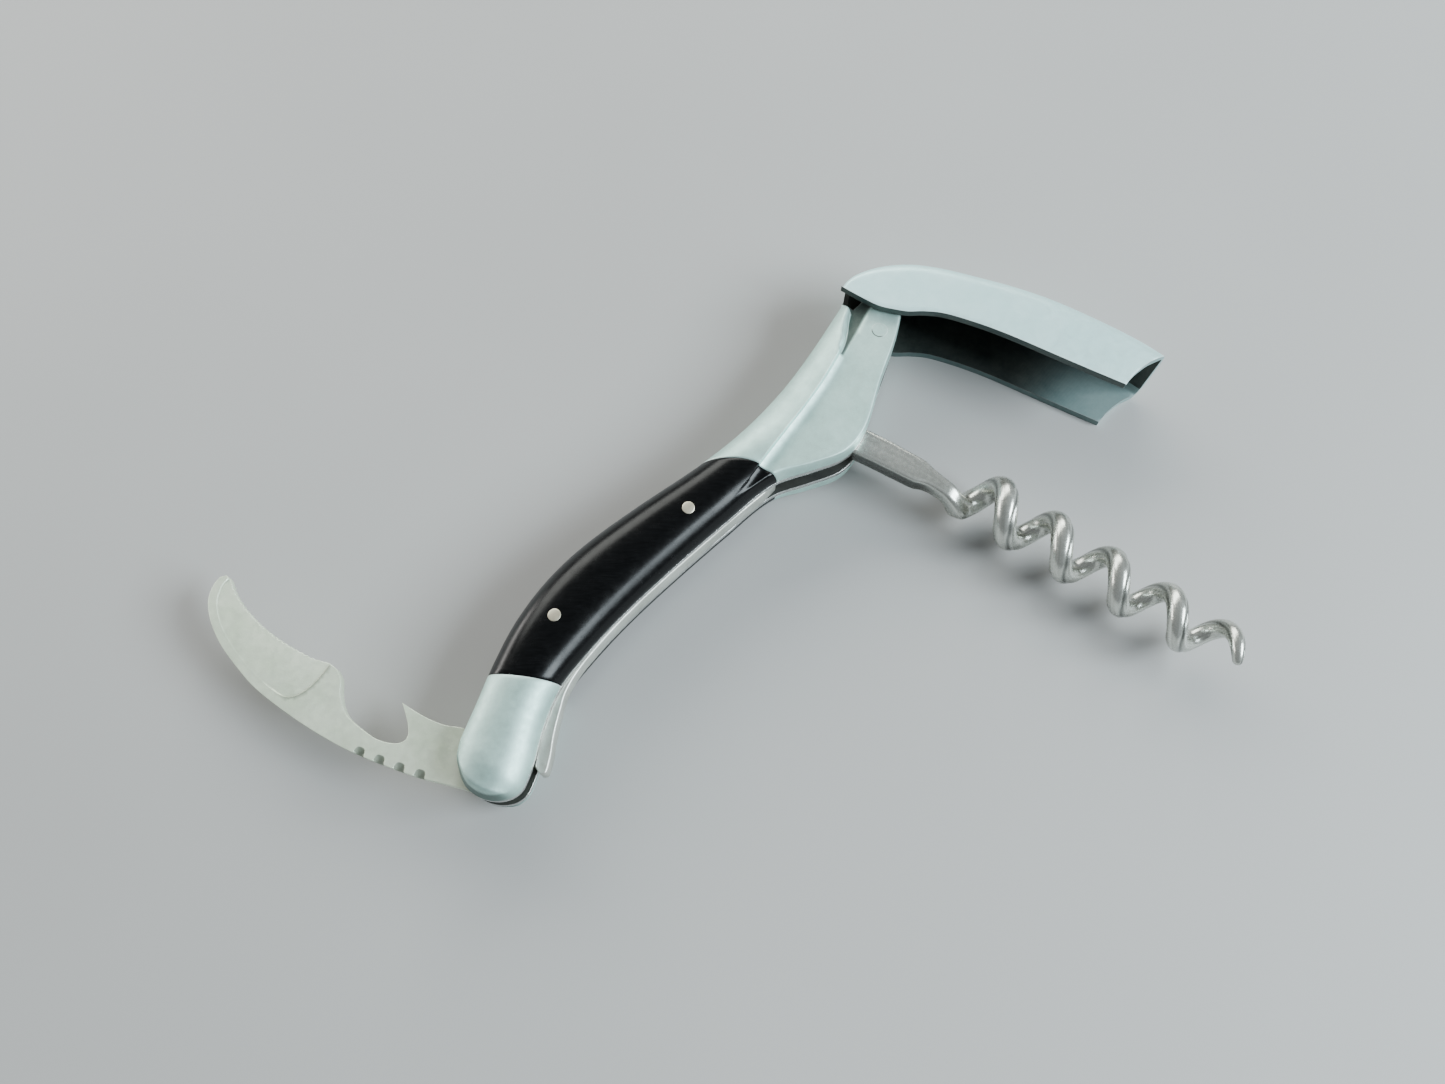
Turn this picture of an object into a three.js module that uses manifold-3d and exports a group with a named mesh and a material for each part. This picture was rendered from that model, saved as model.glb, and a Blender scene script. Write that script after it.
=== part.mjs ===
// A waiter's corkscrew lying half opened on its side: curved two-sided handle, folding knife,
// folding worm and a channel-shaped boot lever. Millimetres, +Z up, resting on z = 0.
//
// Every piece is drawn in the folded layout of the handle frame: x runs from the knife end to the
// lever end, +y is the convex back, -y the hollow belly, and z = 0 is the plane half way through the
// thickness. The three moving pieces are then turned open about their pivots.
import * as THREE from "three";
import { mergeVertices } from "three/addons/utils/BufferGeometryUtils.js";
import Module from "manifold-3d";

const wasm = await Module();
wasm.setup();

// ---------------------------------------------------------------- driving dimensions
const HALF = 7.5; // half of the whole thickness
const SLOT_HALF = 2; // half of the slot between the two liners
const LINER_FACE = 3; // outer face of a liner
const DOME_FOOT = 3.5; // where the straight edge of a bolster or scale turns into its dome
const RECESS = 5.8; // level of the flat plate that the lever's cheek folds over
const POCKET = 4.9; // bottom of the hollow beside the tip of the raised bolster
const PLATE_EDGE = 0.35; // narrow edge round the flat plate
const SEAM_EDGE = 1.4; // its width where the plate starts at the scale
const PLATE_START = 64.7; // x of the plate's start at the scale, and where its edge gets narrow
const EDGE_NARROW = 72;
const CHEEK_INNER = 6.1; // inner face of a lever cheek
const WEB = 1.3; // wall of the lever's spine
const CLEARANCE = 0.08; // play round a pin

const KNIFE_PIVOT = [1.2, -0.3];
const WORM_PIVOT = [79.7, -7.6];
const LEVER_PIVOT = [103.2, 0];
const KNIFE_OPEN = 90; // degrees from folded to the pose shown
const WORM_OPEN = 92;
const LEVER_OPEN = 98;
const HANDLE_TURN = 52.5; // direction of the handle on the table
const HANDLE_AT = [-34.975, -42.441]; // knife end of the handle frame, from the middle of the whole spread

// Back and belly of the handle, and the bare plate ends beyond the tip of the raised bolster.
const BACK = [
  [-4, 4.6], [2, 6.4], [7, 8], [13, 10], [20, 11.7], [28, 12.3], [36, 11.5],
  [46, 9.1], [59, 5.35], [68, 3.6], [78, 2.9], [87, 3.3], [99.1, 4.6],
];
const BELLY = [
  [-4, -6.4], [1, -6.2], [5, -4.9], [10, -2.5], [16, -0.6], [22, -0.3], [31, -0.75], [41, -2],
  [54, -4.15], [64, -6.2], [70, -9.9], [74.5, -12.6], [78, -13.2], [82, -12.6],
  [90, -9.7], [98, -7.2], [103.2, -5], [106.6, -2.9], [108.2, -1.2],
];
const PLATE_BACK = [[98.9, 2.5], [101, 2.1], [103.2, 3], [105.6, 3.2], [108.2, 0.8]];
const HANDLE_START = -3.8;
const HANDLE_END = 108.1;
const TIP_X = 98.8; // end of the raised bolster
const CAP_RADIUS = 5.4; // rounding of the knife end
const PLATE_CAP_RADIUS = 3;
const CAP_MIDDLE_Y = -0.3;

// Step between the raised bolster and the flat plate.
const RIDGE = [
  [52, -3.75], [63, -3.15], [71, -2.85], [79, -2.6], [85, -2.1], [91, -1],
  [94.2, 0.35], [96.3, 1.5], [98.4, 2.45],
];
const POCKET_EDGE = [[89.5, -2.1], [95.8, -1.1], [99.8, -0.4], [101.6, -0.2], [101.6, 6]];

// Seams of the black scale.
const KNIFE_SEAM = [[10.2, 10.2], [17.6, -2.4]];
const LEVER_SEAM = [[58.4, 6.4], [60.9, 2.9], [63.1, -0.6], [64.1, -3.6], [64.7, -7.6]];
const SEAM_GAP = 0.05;
const REACH = 20; // beyond the handle's edges, for cutting outlines

// Lever: spine and open edge when folded, and the hollowed cut at its foot.
const SPINE = [
  [51, -13.2], [58.5, -14.7], [66, -15.25], [75, -15.25], [82.5, -14.5], [90.7, -12.9],
  [97.5, -11.2], [102.6, -9], [106.3, -6], [108.9, -2.5], [109.8, 0.4], [109.5, 2.45],
];
const OPEN_EDGE = [
  [109.5, 2.45], [105.8, 2.75], [102.1, 2.8], [99.4, 2.15], [97.1, 1.35], [94.6, -0.1],
  [91.2, -1.45], [85, -2.5], [79, -3], [71, -3.25], [63, -3.55], [51, -4.2],
];
const FOOT_CUT = [[59.3, -2], [58.9, -4.4], [58.5, -6.4], [57.1, -9.8], [55.5, -12.2], [54.1, -16.5]];
const NOSE_HOLLOW = 5.55; // radius cleared inside the nose for the plate ends
const WEB_END = -0.6; // y at which the spine's wall stops; only the cheeks go on to the nose
const SPINE_ROUND = [3.6, 5]; // width and height of the spine's outer corner
const INNER_ROUND = [1.2, 2];

// Pins: radius and place in the handle frame.
const RIVET_RADIUS = 1.05;
const SCALE_RIVETS = [[24, 6.5], [50.7, 1.2]];
const KNIFE_PIN_RADIUS = 1.5;
const WORM_PIN_RADIUS = 1.5;
const LEVER_PIN_RADIUS = 1.6;
const SPRING_PIN_RADIUS = 0.9;
const SPRING_PINS = [[41, -0.15], [57.5, -3.2]];
const SPACER_PIN_RADIUS = 1.45;
const SPACER_PIN = [97.6, -4];
const BLIND = 1.6; // depth of a blind pin hole in a bolster

// Back spring, with its free end pushed out by the half-open knife.
const SPRING_HALF = 1.9;
const SPRING_OUTER = [
  [4.1, -7], [5.6, -6.9], [7.6, -5.9], [10.4, -4.2], [13.6, -2.6], [17, -1.2], [22, -0.6],
  [31, -0.9], [41, -2.1], [54, -4.2], [62, -5.7],
];
const SPRING_INNER = [
  [63.4, -3.7], [57, -1.3], [50, 0.7], [42, 1.8], [33, 1.6], [24, 0.95], [18, 0.5],
  [14, -0.4], [10.5, -1.9], [7.3, -3.5], [4.8, -5],
];
const SPRING_REAR = [64.7, -4.9]; // centre of the spring's rounded rear end
const SPRING_REAR_RADIUS = 1.1;

// Knife, about its pivot, folded: point towards +x, cutting edge towards -y.
const KNIFE_HALF = 1;
const TANG_RADIUS = 4.9;
const KNIFE_BACK = [
  [1.4, 5.3], [4.7, 6.7], [8.8, 8.5], [13.2, 10], [17.8, 11.4], [22.2, 12.4], [27.5, 13.2],
  [33.2, 13.7], [38.7, 13.8], [43.8, 13.1], [47.9, 12.2], [52, 10.5], [54.8, 8.4], [56.1, 6],
  [56.2, 4.4],
];
const KNIFE_EDGE = [
  [55.6, 3.65], [54.2, 3.95], [52.6, 4.7], [49.3, 5.6], [44.8, 6.05], [40.7, 5.9], [36.7, 5.3],
  [34.1, 4.7], [31.9, 3.9],
];
const CAP_NOTCH = [
  [30.2, 3.9], [28.6, 4.7], [26.6, 6.7], [24, 8.1], [20.8, 8.3], [17.5, 8], [15, 6.9],
  [14, 5.7], [14.2, 4.5], [15.7, 3.1], [18.3, 1.5],
];
const KNIFE_ROOT = [[16.2, 1.3], [13.1, 0.8], [10.4, -0.1], [8.2, -1.3], [4.2, -2.6]];
const THUMB_NOTCHES = [[18, 11.7], [14.7, 10.7], [11.5, 9.6], [8.3, 8.4]];
const THUMB_RADIUS = 0.8;
const THUMB_FLOOR = -0.2; // the thumb notches are cut into the upper face only
const WASHER_RADIUS = 3.4;

// Worm, about its pivot, folded: shank towards -x, then a right-handed helix.
const SHANK_HALF = 1.8;
const SHANK_ROOT_RADIUS = 3.1;
const SHANK = [
  [-3, 2.6], [-9, 1.75], [-16.4, 0.95], [-18.6, 0.05], [-21.5, 0.1], [-25.2, -0.4],
  [-26.3, -1.4], [-25.2, -2.5], [-22, -2.9], [-18.8, -2.9], [-16.6, -3.6], [-9, -3.2],
  [-3, -2.7],
];
const HELIX_Y = -3.65;
const HELIX_START = -28.7; // x of the first outer crest
const HELIX_PITCH = 10.45;
const HELIX_FIRST_ANGLE = -2.45; // where the wire leaves the shank
const HELIX_LAST_ANGLE = 8 * Math.PI + 2.4;
const HELIX_RADII = [3.42, 2.85]; // wire centre, at the shank and at the point
const WIRE_RADII = [1.97, 1.55, 0.75]; // at the shank, before the point, at the point
const POINT_TURN = 2.6; // angle over which the wire thins to its point

// End spacer between the plates, next to the lever pivot.
const SPACER = [[94.6, -5.9], [98.4, -6.2], [100.1, -4.4], [100.2, 0.6], [98.4, 3], [95.6, 2.6], [94.2, 0]];

// ---------------------------------------------------------------- shape helpers
const radians = THREE.MathUtils.degToRad;

// A smooth height through points sorted along x.
function through(points) {
  const slope = points.map((_, i) => {
    const before = points[Math.max(i - 1, 0)];
    const after = points[Math.min(i + 1, points.length - 1)];
    return (after[1] - before[1]) / (after[0] - before[0]);
  });
  return (x) => {
    let i = 0;
    while (i < points.length - 2 && x > points[i + 1][0]) i += 1;
    const [x0, y0] = points[i];
    const [x1, y1] = points[i + 1];
    const width = x1 - x0;
    const t = THREE.MathUtils.clamp((x - x0) / width, 0, 1);
    const a = (1 + 2 * t) * (1 - t) ** 2 * y0 + t * t * (3 - 2 * t) * y1;
    return a + width * (t * (1 - t) ** 2 * slope[i] + t * t * (t - 1) * slope[i + 1]);
  };
}

// Points spread along a smooth curve through the given ones.
function smooth(points, perSpan = 2) {
  const curve = new THREE.SplineCurve(points.map(([x, y]) => new THREE.Vector2(x, y)));
  return curve.getPoints((points.length - 1) * perSpan).map((p) => [p.x, p.y]);
}

function circle([cx, cy], radius, sides = 18) {
  return Array.from({ length: sides }, (_, i) => {
    const a = (2 * Math.PI * i) / sides;
    return [cx + radius * Math.cos(a), cy + radius * Math.sin(a)];
  });
}

// Points on an arc, both ends included.
function arc([cx, cy], radius, from, to, steps) {
  return Array.from({ length: steps + 1 }, (_, i) => {
    const a = radians(from + ((to - from) * i) / steps);
    return [cx + radius * Math.cos(a), cy + radius * Math.sin(a)];
  });
}

function solid(geometry) {
  const bare = geometry.clone();
  bare.deleteAttribute("normal");
  bare.deleteAttribute("uv");
  const merged = mergeVertices(bare, 1e-4);
  const mesh = new wasm.Mesh({
    numProp: 3,
    vertProperties: new Float32Array(merged.attributes.position.array),
    triVerts: new Uint32Array(merged.index.array),
  });
  return new wasm.Manifold(mesh);
}

function geometryOf(manifold) {
  const mesh = manifold.getMesh();
  const geometry = new THREE.BufferGeometry();
  geometry.setAttribute("position", new THREE.BufferAttribute(mesh.vertProperties, 3));
  geometry.setIndex(new THREE.BufferAttribute(mesh.triVerts, 1));
  geometry.computeVertexNormals();
  return geometry;
}

// A flat-topped solid from an outline, between two heights.
function prism(outline, low, high) {
  const shape = new THREE.Shape(outline.map(([x, y]) => new THREE.Vector2(x, y)));
  const geometry = new THREE.ExtrudeGeometry(shape, { depth: high - low, bevelEnabled: false });
  return solid(geometry.translate(0, 0, low));
}

function pin(at, radius, low, high) {
  return prism(circle(at, radius), low, high);
}

// A closed skin over equal rings of 3-D points; the end rings are filled.
function skin(rings, flatten) {
  const count = rings[0].length;
  const positions = rings.flat(2);
  const index = [];
  for (let r = 0; r < rings.length - 1; r += 1) {
    for (let i = 0; i < count; i += 1) {
      const a = r * count + i;
      const b = r * count + ((i + 1) % count);
      index.push(a, b, b + count, a, b + count, a + count);
    }
  }
  const fill = (ring) =>
    THREE.ShapeUtils.triangulateShape(ring.map((p) => new THREE.Vector2(...flatten(p))), []);
  const last = (rings.length - 1) * count;
  for (const [a, b, c] of fill(rings[0])) index.push(a, c, b);
  for (const [a, b, c] of fill(rings[rings.length - 1])) index.push(last + a, last + b, last + c);
  const geometry = new THREE.BufferGeometry();
  geometry.setAttribute("position", new THREE.Float32BufferAttribute(positions, 3));
  geometry.setIndex(index);
  return geometry;
}

// ---------------------------------------------------------------- handle section
const backLine = through(BACK);
const bellyLine = through(BELLY);
const plateBackLine = through(PLATE_BACK);
const ridgeLine = through(RIDGE);

// 0 at the very ends of the handle, 1 where its full width is reached.
function endRounding(x) {
  const fromStart = THREE.MathUtils.clamp((x - HANDLE_START) / CAP_RADIUS, 0, 1);
  const fromEnd = THREE.MathUtils.clamp((HANDLE_END - x) / PLATE_CAP_RADIUS, 0, 1);
  return Math.sqrt(1 - (1 - fromStart) ** 2) * Math.sqrt(1 - (1 - fromEnd) ** 2);
}

function handleEdges(x) {
  const back = x < TIP_X ? backLine(x) : plateBackLine(x);
  const rounding = endRounding(x);
  return [bellyLine(x), back].map((y) => CAP_MIDDLE_Y + (y - CAP_MIDDLE_Y) * rounding);
}

function handleStations() {
  const stations = [0.04, 0.3, 0.9, 1.8, 2.9, 4.1].map((d) => HANDLE_START + d);
  for (let x = CAP_RADIUS + HANDLE_START; x < 71; x += 3.1) stations.push(x);
  for (let x = 71.5; x < TIP_X - 0.5; x += 2) stations.push(x);
  stations.push(TIP_X - 0.02, TIP_X + 0.02);
  for (let x = TIP_X + 1; x < HANDLE_END - 1.5; x += 1.5) stations.push(x);
  return stations.concat([1.2, 0.7, 0.3, 0.05].map((d) => HANDLE_END - d));
}

// Outline of a liner, which is also the foot of the bolsters and the scale.
function handleOutline() {
  const stations = handleStations();
  const belly = stations.map((x) => [x, handleEdges(x)[0]]);
  const back = stations.map((x) => [x, handleEdges(x)[1]]);
  return belly.concat(back.reverse());
}

// One side of the handle above its liner, domed over its whole width.
function domedSide() {
  const steps = 12;
  const rings = handleStations().map((x) => {
    const [belly, back] = handleEdges(x);
    const middle = (belly + back) / 2;
    const half = (back - belly) / 2;
    const rise = (HALF - DOME_FOOT) * endRounding(x);
    const ring = [[x, belly, LINER_FACE], [x, belly, DOME_FOOT]];
    for (let i = 1; i < steps; i += 1) {
      const across = -Math.cos((Math.PI * i) / steps);
      const height = (1 - Math.abs(across) ** 2.3) ** 0.55;
      ring.push([x, middle + half * across, DOME_FOOT + rise * height]);
    }
    return ring.concat([[x, back, DOME_FOOT], [x, back, LINER_FACE]]).reverse();
  });
  return solid(skin(rings, ([, y, z]) => [y, z]));
}

function recessCut() {
  const start = RIDGE[0][0];
  const tip = RIDGE[RIDGE.length - 1];
  const ridge = [];
  for (let x = start; x < tip[0]; x += 2.9) ridge.push([x, ridgeLine(x)]);
  const end = HANDLE_END + 4;
  const outline = [[start, -REACH], [end, -REACH], [end, 8], [TIP_X + 0.1, 8], tip, ...ridge.reverse()];
  return prism(outline, RECESS, HALF + 1);
}

function pocketCut() {
  const ridge = [89.5, 91, 92.5, 94, 95.5, 97, 98].map((x) => [x, ridgeLine(x)]);
  const outline = [...POCKET_EDGE, [TIP_X + 0.1, 6], ...ridge.reverse()];
  return prism(outline, POCKET, RECESS + 0.5);
}

// The bare plate keeps its full height out to a narrow edge along the belly and round its end.
function plateBlock(low, high, edge) {
  const taper = (x) => THREE.MathUtils.clamp((EDGE_NARROW - x) / (EDGE_NARROW - PLATE_START), 0, 1);
  const inset = (x) => edge + (SEAM_EDGE - PLATE_EDGE) * taper(x);
  const stations = handleStations().filter((x) => x > PLATE_START && x < HANDLE_END - 0.4);
  const belly = stations.map((x) => [x, handleEdges(x)[0] + inset(x)]);
  const back = stations.map((x) => [x, x < TIP_X ? ridgeLine(x) : handleEdges(x)[1] - edge]);
  return prism(belly.concat(back.reverse()), low, high);
}

const side = domedSide()
  .subtract(recessCut())
  .add(plateBlock(DOME_FOOT - 0.2, RECESS - PLATE_EDGE, 0.04))
  .add(plateBlock(DOME_FOOT, RECESS, PLATE_EDGE))
  .subtract(pocketCut());

function kept(from, to) {
  const first = from.map(([x, y]) => [x + SEAM_GAP, y]);
  const last = to.map(([x, y]) => [x - SEAM_GAP, y]);
  const outline = [...first, ...last.reverse()];
  return side.intersect(prism(outline, LINER_FACE - 1, HALF + 1));
}

const FAR_START = [[-10, REACH], [-10, -REACH]];
const FAR_END = [[115, REACH], [115, -REACH]];
const leverSeam = [[LEVER_SEAM[0][0], REACH], ...smooth(LEVER_SEAM, 3), [LEVER_SEAM[4][0], -REACH]];

// The straight seam of the knife bolster, carried on past both edges of the handle.
function knifeSeamLine() {
  const [[x0, y0], [x1, y1]] = KNIFE_SEAM;
  const at = (y) => [x0 + ((x1 - x0) * (y - y0)) / (y1 - y0), y];
  return [at(REACH), ...KNIFE_SEAM, at(-REACH)];
}

const knifeSeam = knifeSeamLine();

function knifeBolster() {
  return kept(FAR_START, knifeSeam).subtract(
    pin(KNIFE_PIVOT, KNIFE_PIN_RADIUS + CLEARANCE, LINER_FACE - 1, LINER_FACE + BLIND),
  );
}

function handleScale() {
  const holes = SCALE_RIVETS.map((at) => pin(at, RIVET_RADIUS + CLEARANCE, 0, HALF + 1));
  return holes.reduce((made, hole) => made.subtract(hole), kept(knifeSeam, leverSeam));
}

function leverBolster() {
  return kept(leverSeam, FAR_END)
    .subtract(pin(WORM_PIVOT, WORM_PIN_RADIUS + CLEARANCE, LINER_FACE - 1, LINER_FACE + BLIND))
    .subtract(pin(LEVER_PIVOT, LEVER_PIN_RADIUS + CLEARANCE, 0, HALF))
    .subtract(pin(SPACER_PIN, SPACER_PIN_RADIUS + CLEARANCE, 0, HALF));
}

function liner() {
  const holes = [
    [KNIFE_PIVOT, KNIFE_PIN_RADIUS],
    [WORM_PIVOT, WORM_PIN_RADIUS],
    [LEVER_PIVOT, LEVER_PIN_RADIUS],
    [SPACER_PIN, SPACER_PIN_RADIUS],
    ...SPRING_PINS.map((at) => [at, SPRING_PIN_RADIUS]),
    ...SCALE_RIVETS.map((at) => [at, RIVET_RADIUS]),
  ];
  return holes.reduce(
    (made, [at, radius]) => made.subtract(pin(at, radius + CLEARANCE, 0, HALF)),
    prism(handleOutline(), SLOT_HALF, LINER_FACE),
  );
}

// A rivet from the inner face of the liner up to the surface of the scale.
function scaleRivet(at) {
  const dome = domedSide().add(prism(handleOutline(), SLOT_HALF, LINER_FACE + 0.01));
  return pin(at, RIVET_RADIUS, SLOT_HALF, HALF + 1).intersect(dome);
}

// ---------------------------------------------------------------- inside the handle
function backSpring() {
  const rear = arc(SPRING_REAR, SPRING_REAR_RADIUS, -70, 60, 5);
  const outline = [...smooth(SPRING_OUTER, 2), ...rear, ...smooth(SPRING_INNER, 2)];
  return SPRING_PINS.reduce(
    (made, at) => made.subtract(pin(at, SPRING_PIN_RADIUS + CLEARANCE, -HALF, HALF)),
    prism(outline, -SPRING_HALF, SPRING_HALF),
  );
}

function endSpacer() {
  return prism(smooth([...SPACER, SPACER[0]], 3).slice(0, -1), -SLOT_HALF, SLOT_HALF).subtract(
    pin(SPACER_PIN, SPACER_PIN_RADIUS + CLEARANCE, -HALF, HALF),
  );
}

function knifeWasher() {
  return pin(KNIFE_PIVOT, WASHER_RADIUS, KNIFE_HALF + 0.05, SLOT_HALF).subtract(
    pin(KNIFE_PIVOT, KNIFE_PIN_RADIUS + CLEARANCE, 0, HALF),
  );
}

// ---------------------------------------------------------------- moving pieces, about their pivots
function knife() {
  const tang = arc([0, 0], TANG_RADIUS, 315, 95, 16);
  const outline = [
    ...smooth(KNIFE_BACK, 2),
    ...smooth(KNIFE_EDGE, 2),
    ...smooth(CAP_NOTCH, 3),
    ...smooth(KNIFE_ROOT, 2),
    ...tang,
  ].reverse();
  const blade = prism(outline, -KNIFE_HALF, KNIFE_HALF).subtract(
    pin([0, 0], KNIFE_PIN_RADIUS + CLEARANCE, -HALF, HALF),
  );
  return THUMB_NOTCHES.reduce(
    (made, at) => made.subtract(pin(at, THUMB_RADIUS, THUMB_FLOOR, HALF)),
    blade,
  );
}

// A round wire along a path, with its own radius at each point.
function wire(path, radii, sides = 10) {
  let normal = new THREE.Vector3(0, 0, 1);
  const rings = path.map((p, i) => {
    const ahead = path[Math.min(i + 1, path.length - 1)];
    const behind = path[Math.max(i - 1, 0)];
    const along = ahead.clone().sub(behind).normalize();
    normal = normal.clone().addScaledVector(along, -normal.dot(along)).normalize();
    const other = along.clone().cross(normal);
    return Array.from({ length: sides }, (_, k) => {
      const a = (2 * Math.PI * k) / sides;
      const offset = normal.clone().multiplyScalar(Math.cos(a)).addScaledVector(other, Math.sin(a));
      return p.clone().addScaledVector(offset, radii[i]).toArray();
    });
  });
  const count = sides;
  const first = rings[0];
  const geometry = skin(rings, (p) => {
    const ring = first.includes(p) ? first : rings[rings.length - 1];
    const a = (2 * Math.PI * ring.indexOf(p)) / count;
    return [Math.cos(a), Math.sin(a)];
  });
  return solid(geometry);
}

function helixPoint(angle) {
  const share = THREE.MathUtils.clamp(angle / HELIX_LAST_ANGLE, 0, 1);
  const radius = THREE.MathUtils.lerp(...HELIX_RADII, share);
  const x = HELIX_START - (HELIX_PITCH * angle) / (2 * Math.PI);
  return new THREE.Vector3(x, HELIX_Y - radius * Math.cos(angle), radius * Math.sin(angle));
}

function worm() {
  const shank = prism(
    [...smooth(SHANK, 2), ...arc([0, 0], SHANK_ROOT_RADIUS, 300, 420, 8)].reverse(),
    -SHANK_HALF,
    SHANK_HALF,
  );
  // The wire starts inside the neck of the shank and bends down into the first turn.
  const path = [new THREE.Vector3(-22, -1.4, 0), new THREE.Vector3(-23.8, -1.25, -0.5)];
  const radii = [1.5, 1.7];
  const step = Math.PI / 8;
  for (let angle = HELIX_FIRST_ANGLE; angle < HELIX_LAST_ANGLE + step / 2; angle += step) {
    path.push(helixPoint(angle));
    const body = THREE.MathUtils.lerp(WIRE_RADII[0], WIRE_RADII[1], Math.max(angle, 0) / HELIX_LAST_ANGLE);
    const left = THREE.MathUtils.clamp((HELIX_LAST_ANGLE - angle) / POINT_TURN, 0, 1);
    radii.push(THREE.MathUtils.lerp(WIRE_RADII[2], body, Math.sqrt(left)));
  }
  return shank.add(wire(path, radii)).subtract(pin([0, 0], WORM_PIN_RADIUS + CLEARANCE, -HALF, HALF));
}

// Directions pointing out of the spine, from its foot round to the nose.
function spineNormals(points) {
  return points.map((_, i) => {
    const [x0, y0] = points[Math.max(i - 1, 0)];
    const [x1, y1] = points[Math.min(i + 1, points.length - 1)];
    const length = Math.hypot(x1 - x0, y1 - y0);
    return [(y1 - y0) / length, -(x1 - x0) / length];
  });
}

// A block with the lever's plan whose spine corners are rounded over a width and a height.
function roundedBlock(spine, edge, half, [across, high], inset) {
  const normals = spineNormals(spine);
  const taper = (i) => Math.min(1, 0.3 + (spine.length - 1 - i) / 9);
  const ring = (height, drawn) => [
    ...spine.map(([x, y], i) => {
      const move = inset + drawn * taper(i);
      return [x - normals[i][0] * move, y - normals[i][1] * move, height];
    }),
    ...edge.map(([x, y]) => [x, y, height]),
  ];
  const corner = [0, 0.2, 0.42, 0.65, 0.85, 1].map((t) => [
    half - high + high * Math.sin((t * Math.PI) / 2),
    across * (1 - Math.cos((t * Math.PI) / 2)),
  ]);
  const upper = corner.map(([height, drawn]) => ring(height, drawn));
  const lower = corner.map(([height, drawn]) => ring(-height, drawn)).reverse();
  return solid(skin([...lower, ...upper], ([x, y]) => [x, y]));
}

function lever() {
  const shift = ([x, y]) => [x - LEVER_PIVOT[0], y - LEVER_PIVOT[1]];
  const spine = smooth(SPINE, 2).map(shift);
  const edge = smooth(OPEN_EDGE, 2).map(shift).slice(1);
  const outer = roundedBlock(spine, edge, HALF, SPINE_ROUND, 0);
  const opening = [[6, 8], [-50, 8], [-54, -4]];
  const inner = roundedBlock(spine, opening, CHEEK_INNER, INNER_ROUND, WEB);
  const foot = [...smooth(FOOT_CUT, 3).map(shift), [-60, -30], [-60, 10], [-44, 10]];
  return outer
    .subtract(inner)
    .subtract(prism(circle([0, 0], NOSE_HOLLOW, 32), -CHEEK_INNER, CHEEK_INNER))
    .subtract(prism([[-2, WEB_END], [9, WEB_END], [9, 6], [-2, 6]], -CHEEK_INNER, CHEEK_INNER))
    .subtract(prism(foot.reverse(), -HALF - 1, HALF + 1))
    .subtract(pin([0, 0], LEVER_PIN_RADIUS + CLEARANCE / 2, -HALF - 1, HALF + 1));
}

// ---------------------------------------------------------------- materials
const finish = (color, roughness, metalness) => ({ color, roughness, metalness });
const CAST_STEEL = finish(0xb4bab5, 0.42, 1);
const BRIGHT_STEEL = finish(0xc9cbc8, 0.28, 1);
const BLADE_STEEL = finish(0xd2d4d0, 0.3, 1);
const BLACK_HORN = finish(0x15171a, 0.35, 0);
const NICKEL = finish(0xd8d0c0, 0.35, 1);
const BRASS = finish(0xa8894e, 0.4, 1);

function mesh(name, made, look) {
  const piece = new THREE.Mesh(geometryOf(made), new THREE.MeshStandardMaterial(look));
  piece.name = name;
  return piece;
}

// ---------------------------------------------------------------- assembly
const handle = new THREE.Group();
handle.position.set(...HANDLE_AT, HALF);
handle.rotation.z = radians(HANDLE_TURN);

const sidePieces = [
  ["liner", liner(), BRIGHT_STEEL],
  ["knife_bolster", knifeBolster(), CAST_STEEL],
  ["handle_scale", handleScale(), BLACK_HORN],
  ["lever_bolster", leverBolster(), CAST_STEEL],
  ["front_scale_rivet", scaleRivet(SCALE_RIVETS[0]), NICKEL],
  ["rear_scale_rivet", scaleRivet(SCALE_RIVETS[1]), NICKEL],
  ["knife_washer", knifeWasher(), BRASS],
];
for (const [name, made, look] of sidePieces) {
  const upper = mesh("upper_" + name, made, look);
  const lower = mesh("lower_" + name, made, look);
  lower.scale.z = -1;
  handle.add(upper, lower);
}

const blindReach = LINER_FACE + BLIND - 0.1;
handle.add(
  mesh("back_spring", backSpring(), BRIGHT_STEEL),
  mesh("end_spacer", endSpacer(), BRIGHT_STEEL),
  mesh("knife_pivot_pin", pin(KNIFE_PIVOT, KNIFE_PIN_RADIUS, -blindReach, blindReach), BRIGHT_STEEL),
  mesh("worm_pivot_pin", pin(WORM_PIVOT, WORM_PIN_RADIUS, -blindReach, blindReach), BRIGHT_STEEL),
  mesh("end_spacer_pin", pin(SPACER_PIN, SPACER_PIN_RADIUS, -RECESS, RECESS), BRIGHT_STEEL),
  mesh("front_spring_pin", pin(SPRING_PINS[0], SPRING_PIN_RADIUS, -LINER_FACE, LINER_FACE), BRIGHT_STEEL),
  mesh("rear_spring_pin", pin(SPRING_PINS[1], SPRING_PIN_RADIUS, -LINER_FACE, LINER_FACE), BRIGHT_STEEL),
);

// A turning group at a pivot, opened by an angle from the folded layout.
function turned([x, y], degrees, ...pieces) {
  const group = new THREE.Group();
  group.position.set(x, y, 0);
  group.rotation.z = radians(degrees);
  group.add(...pieces);
  return group;
}

handle.add(
  turned(KNIFE_PIVOT, KNIFE_OPEN, mesh("knife_blade", knife(), BLADE_STEEL)),
  turned(WORM_PIVOT, WORM_OPEN, mesh("worm", worm(), BRIGHT_STEEL)),
  turned(
    LEVER_PIVOT,
    LEVER_OPEN,
    mesh("boot_lever", lever(), CAST_STEEL),
    mesh("lever_hinge_pin", pin([0, 0], LEVER_PIN_RADIUS, -HALF, HALF), BRIGHT_STEEL),
  ),
);

const group = new THREE.Group();
group.add(handle);

export default group;
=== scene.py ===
import math
import bmesh
import bpy
import numpy as np
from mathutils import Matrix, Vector
from mathutils.geometry import delaunay_2d_cdt


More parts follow.
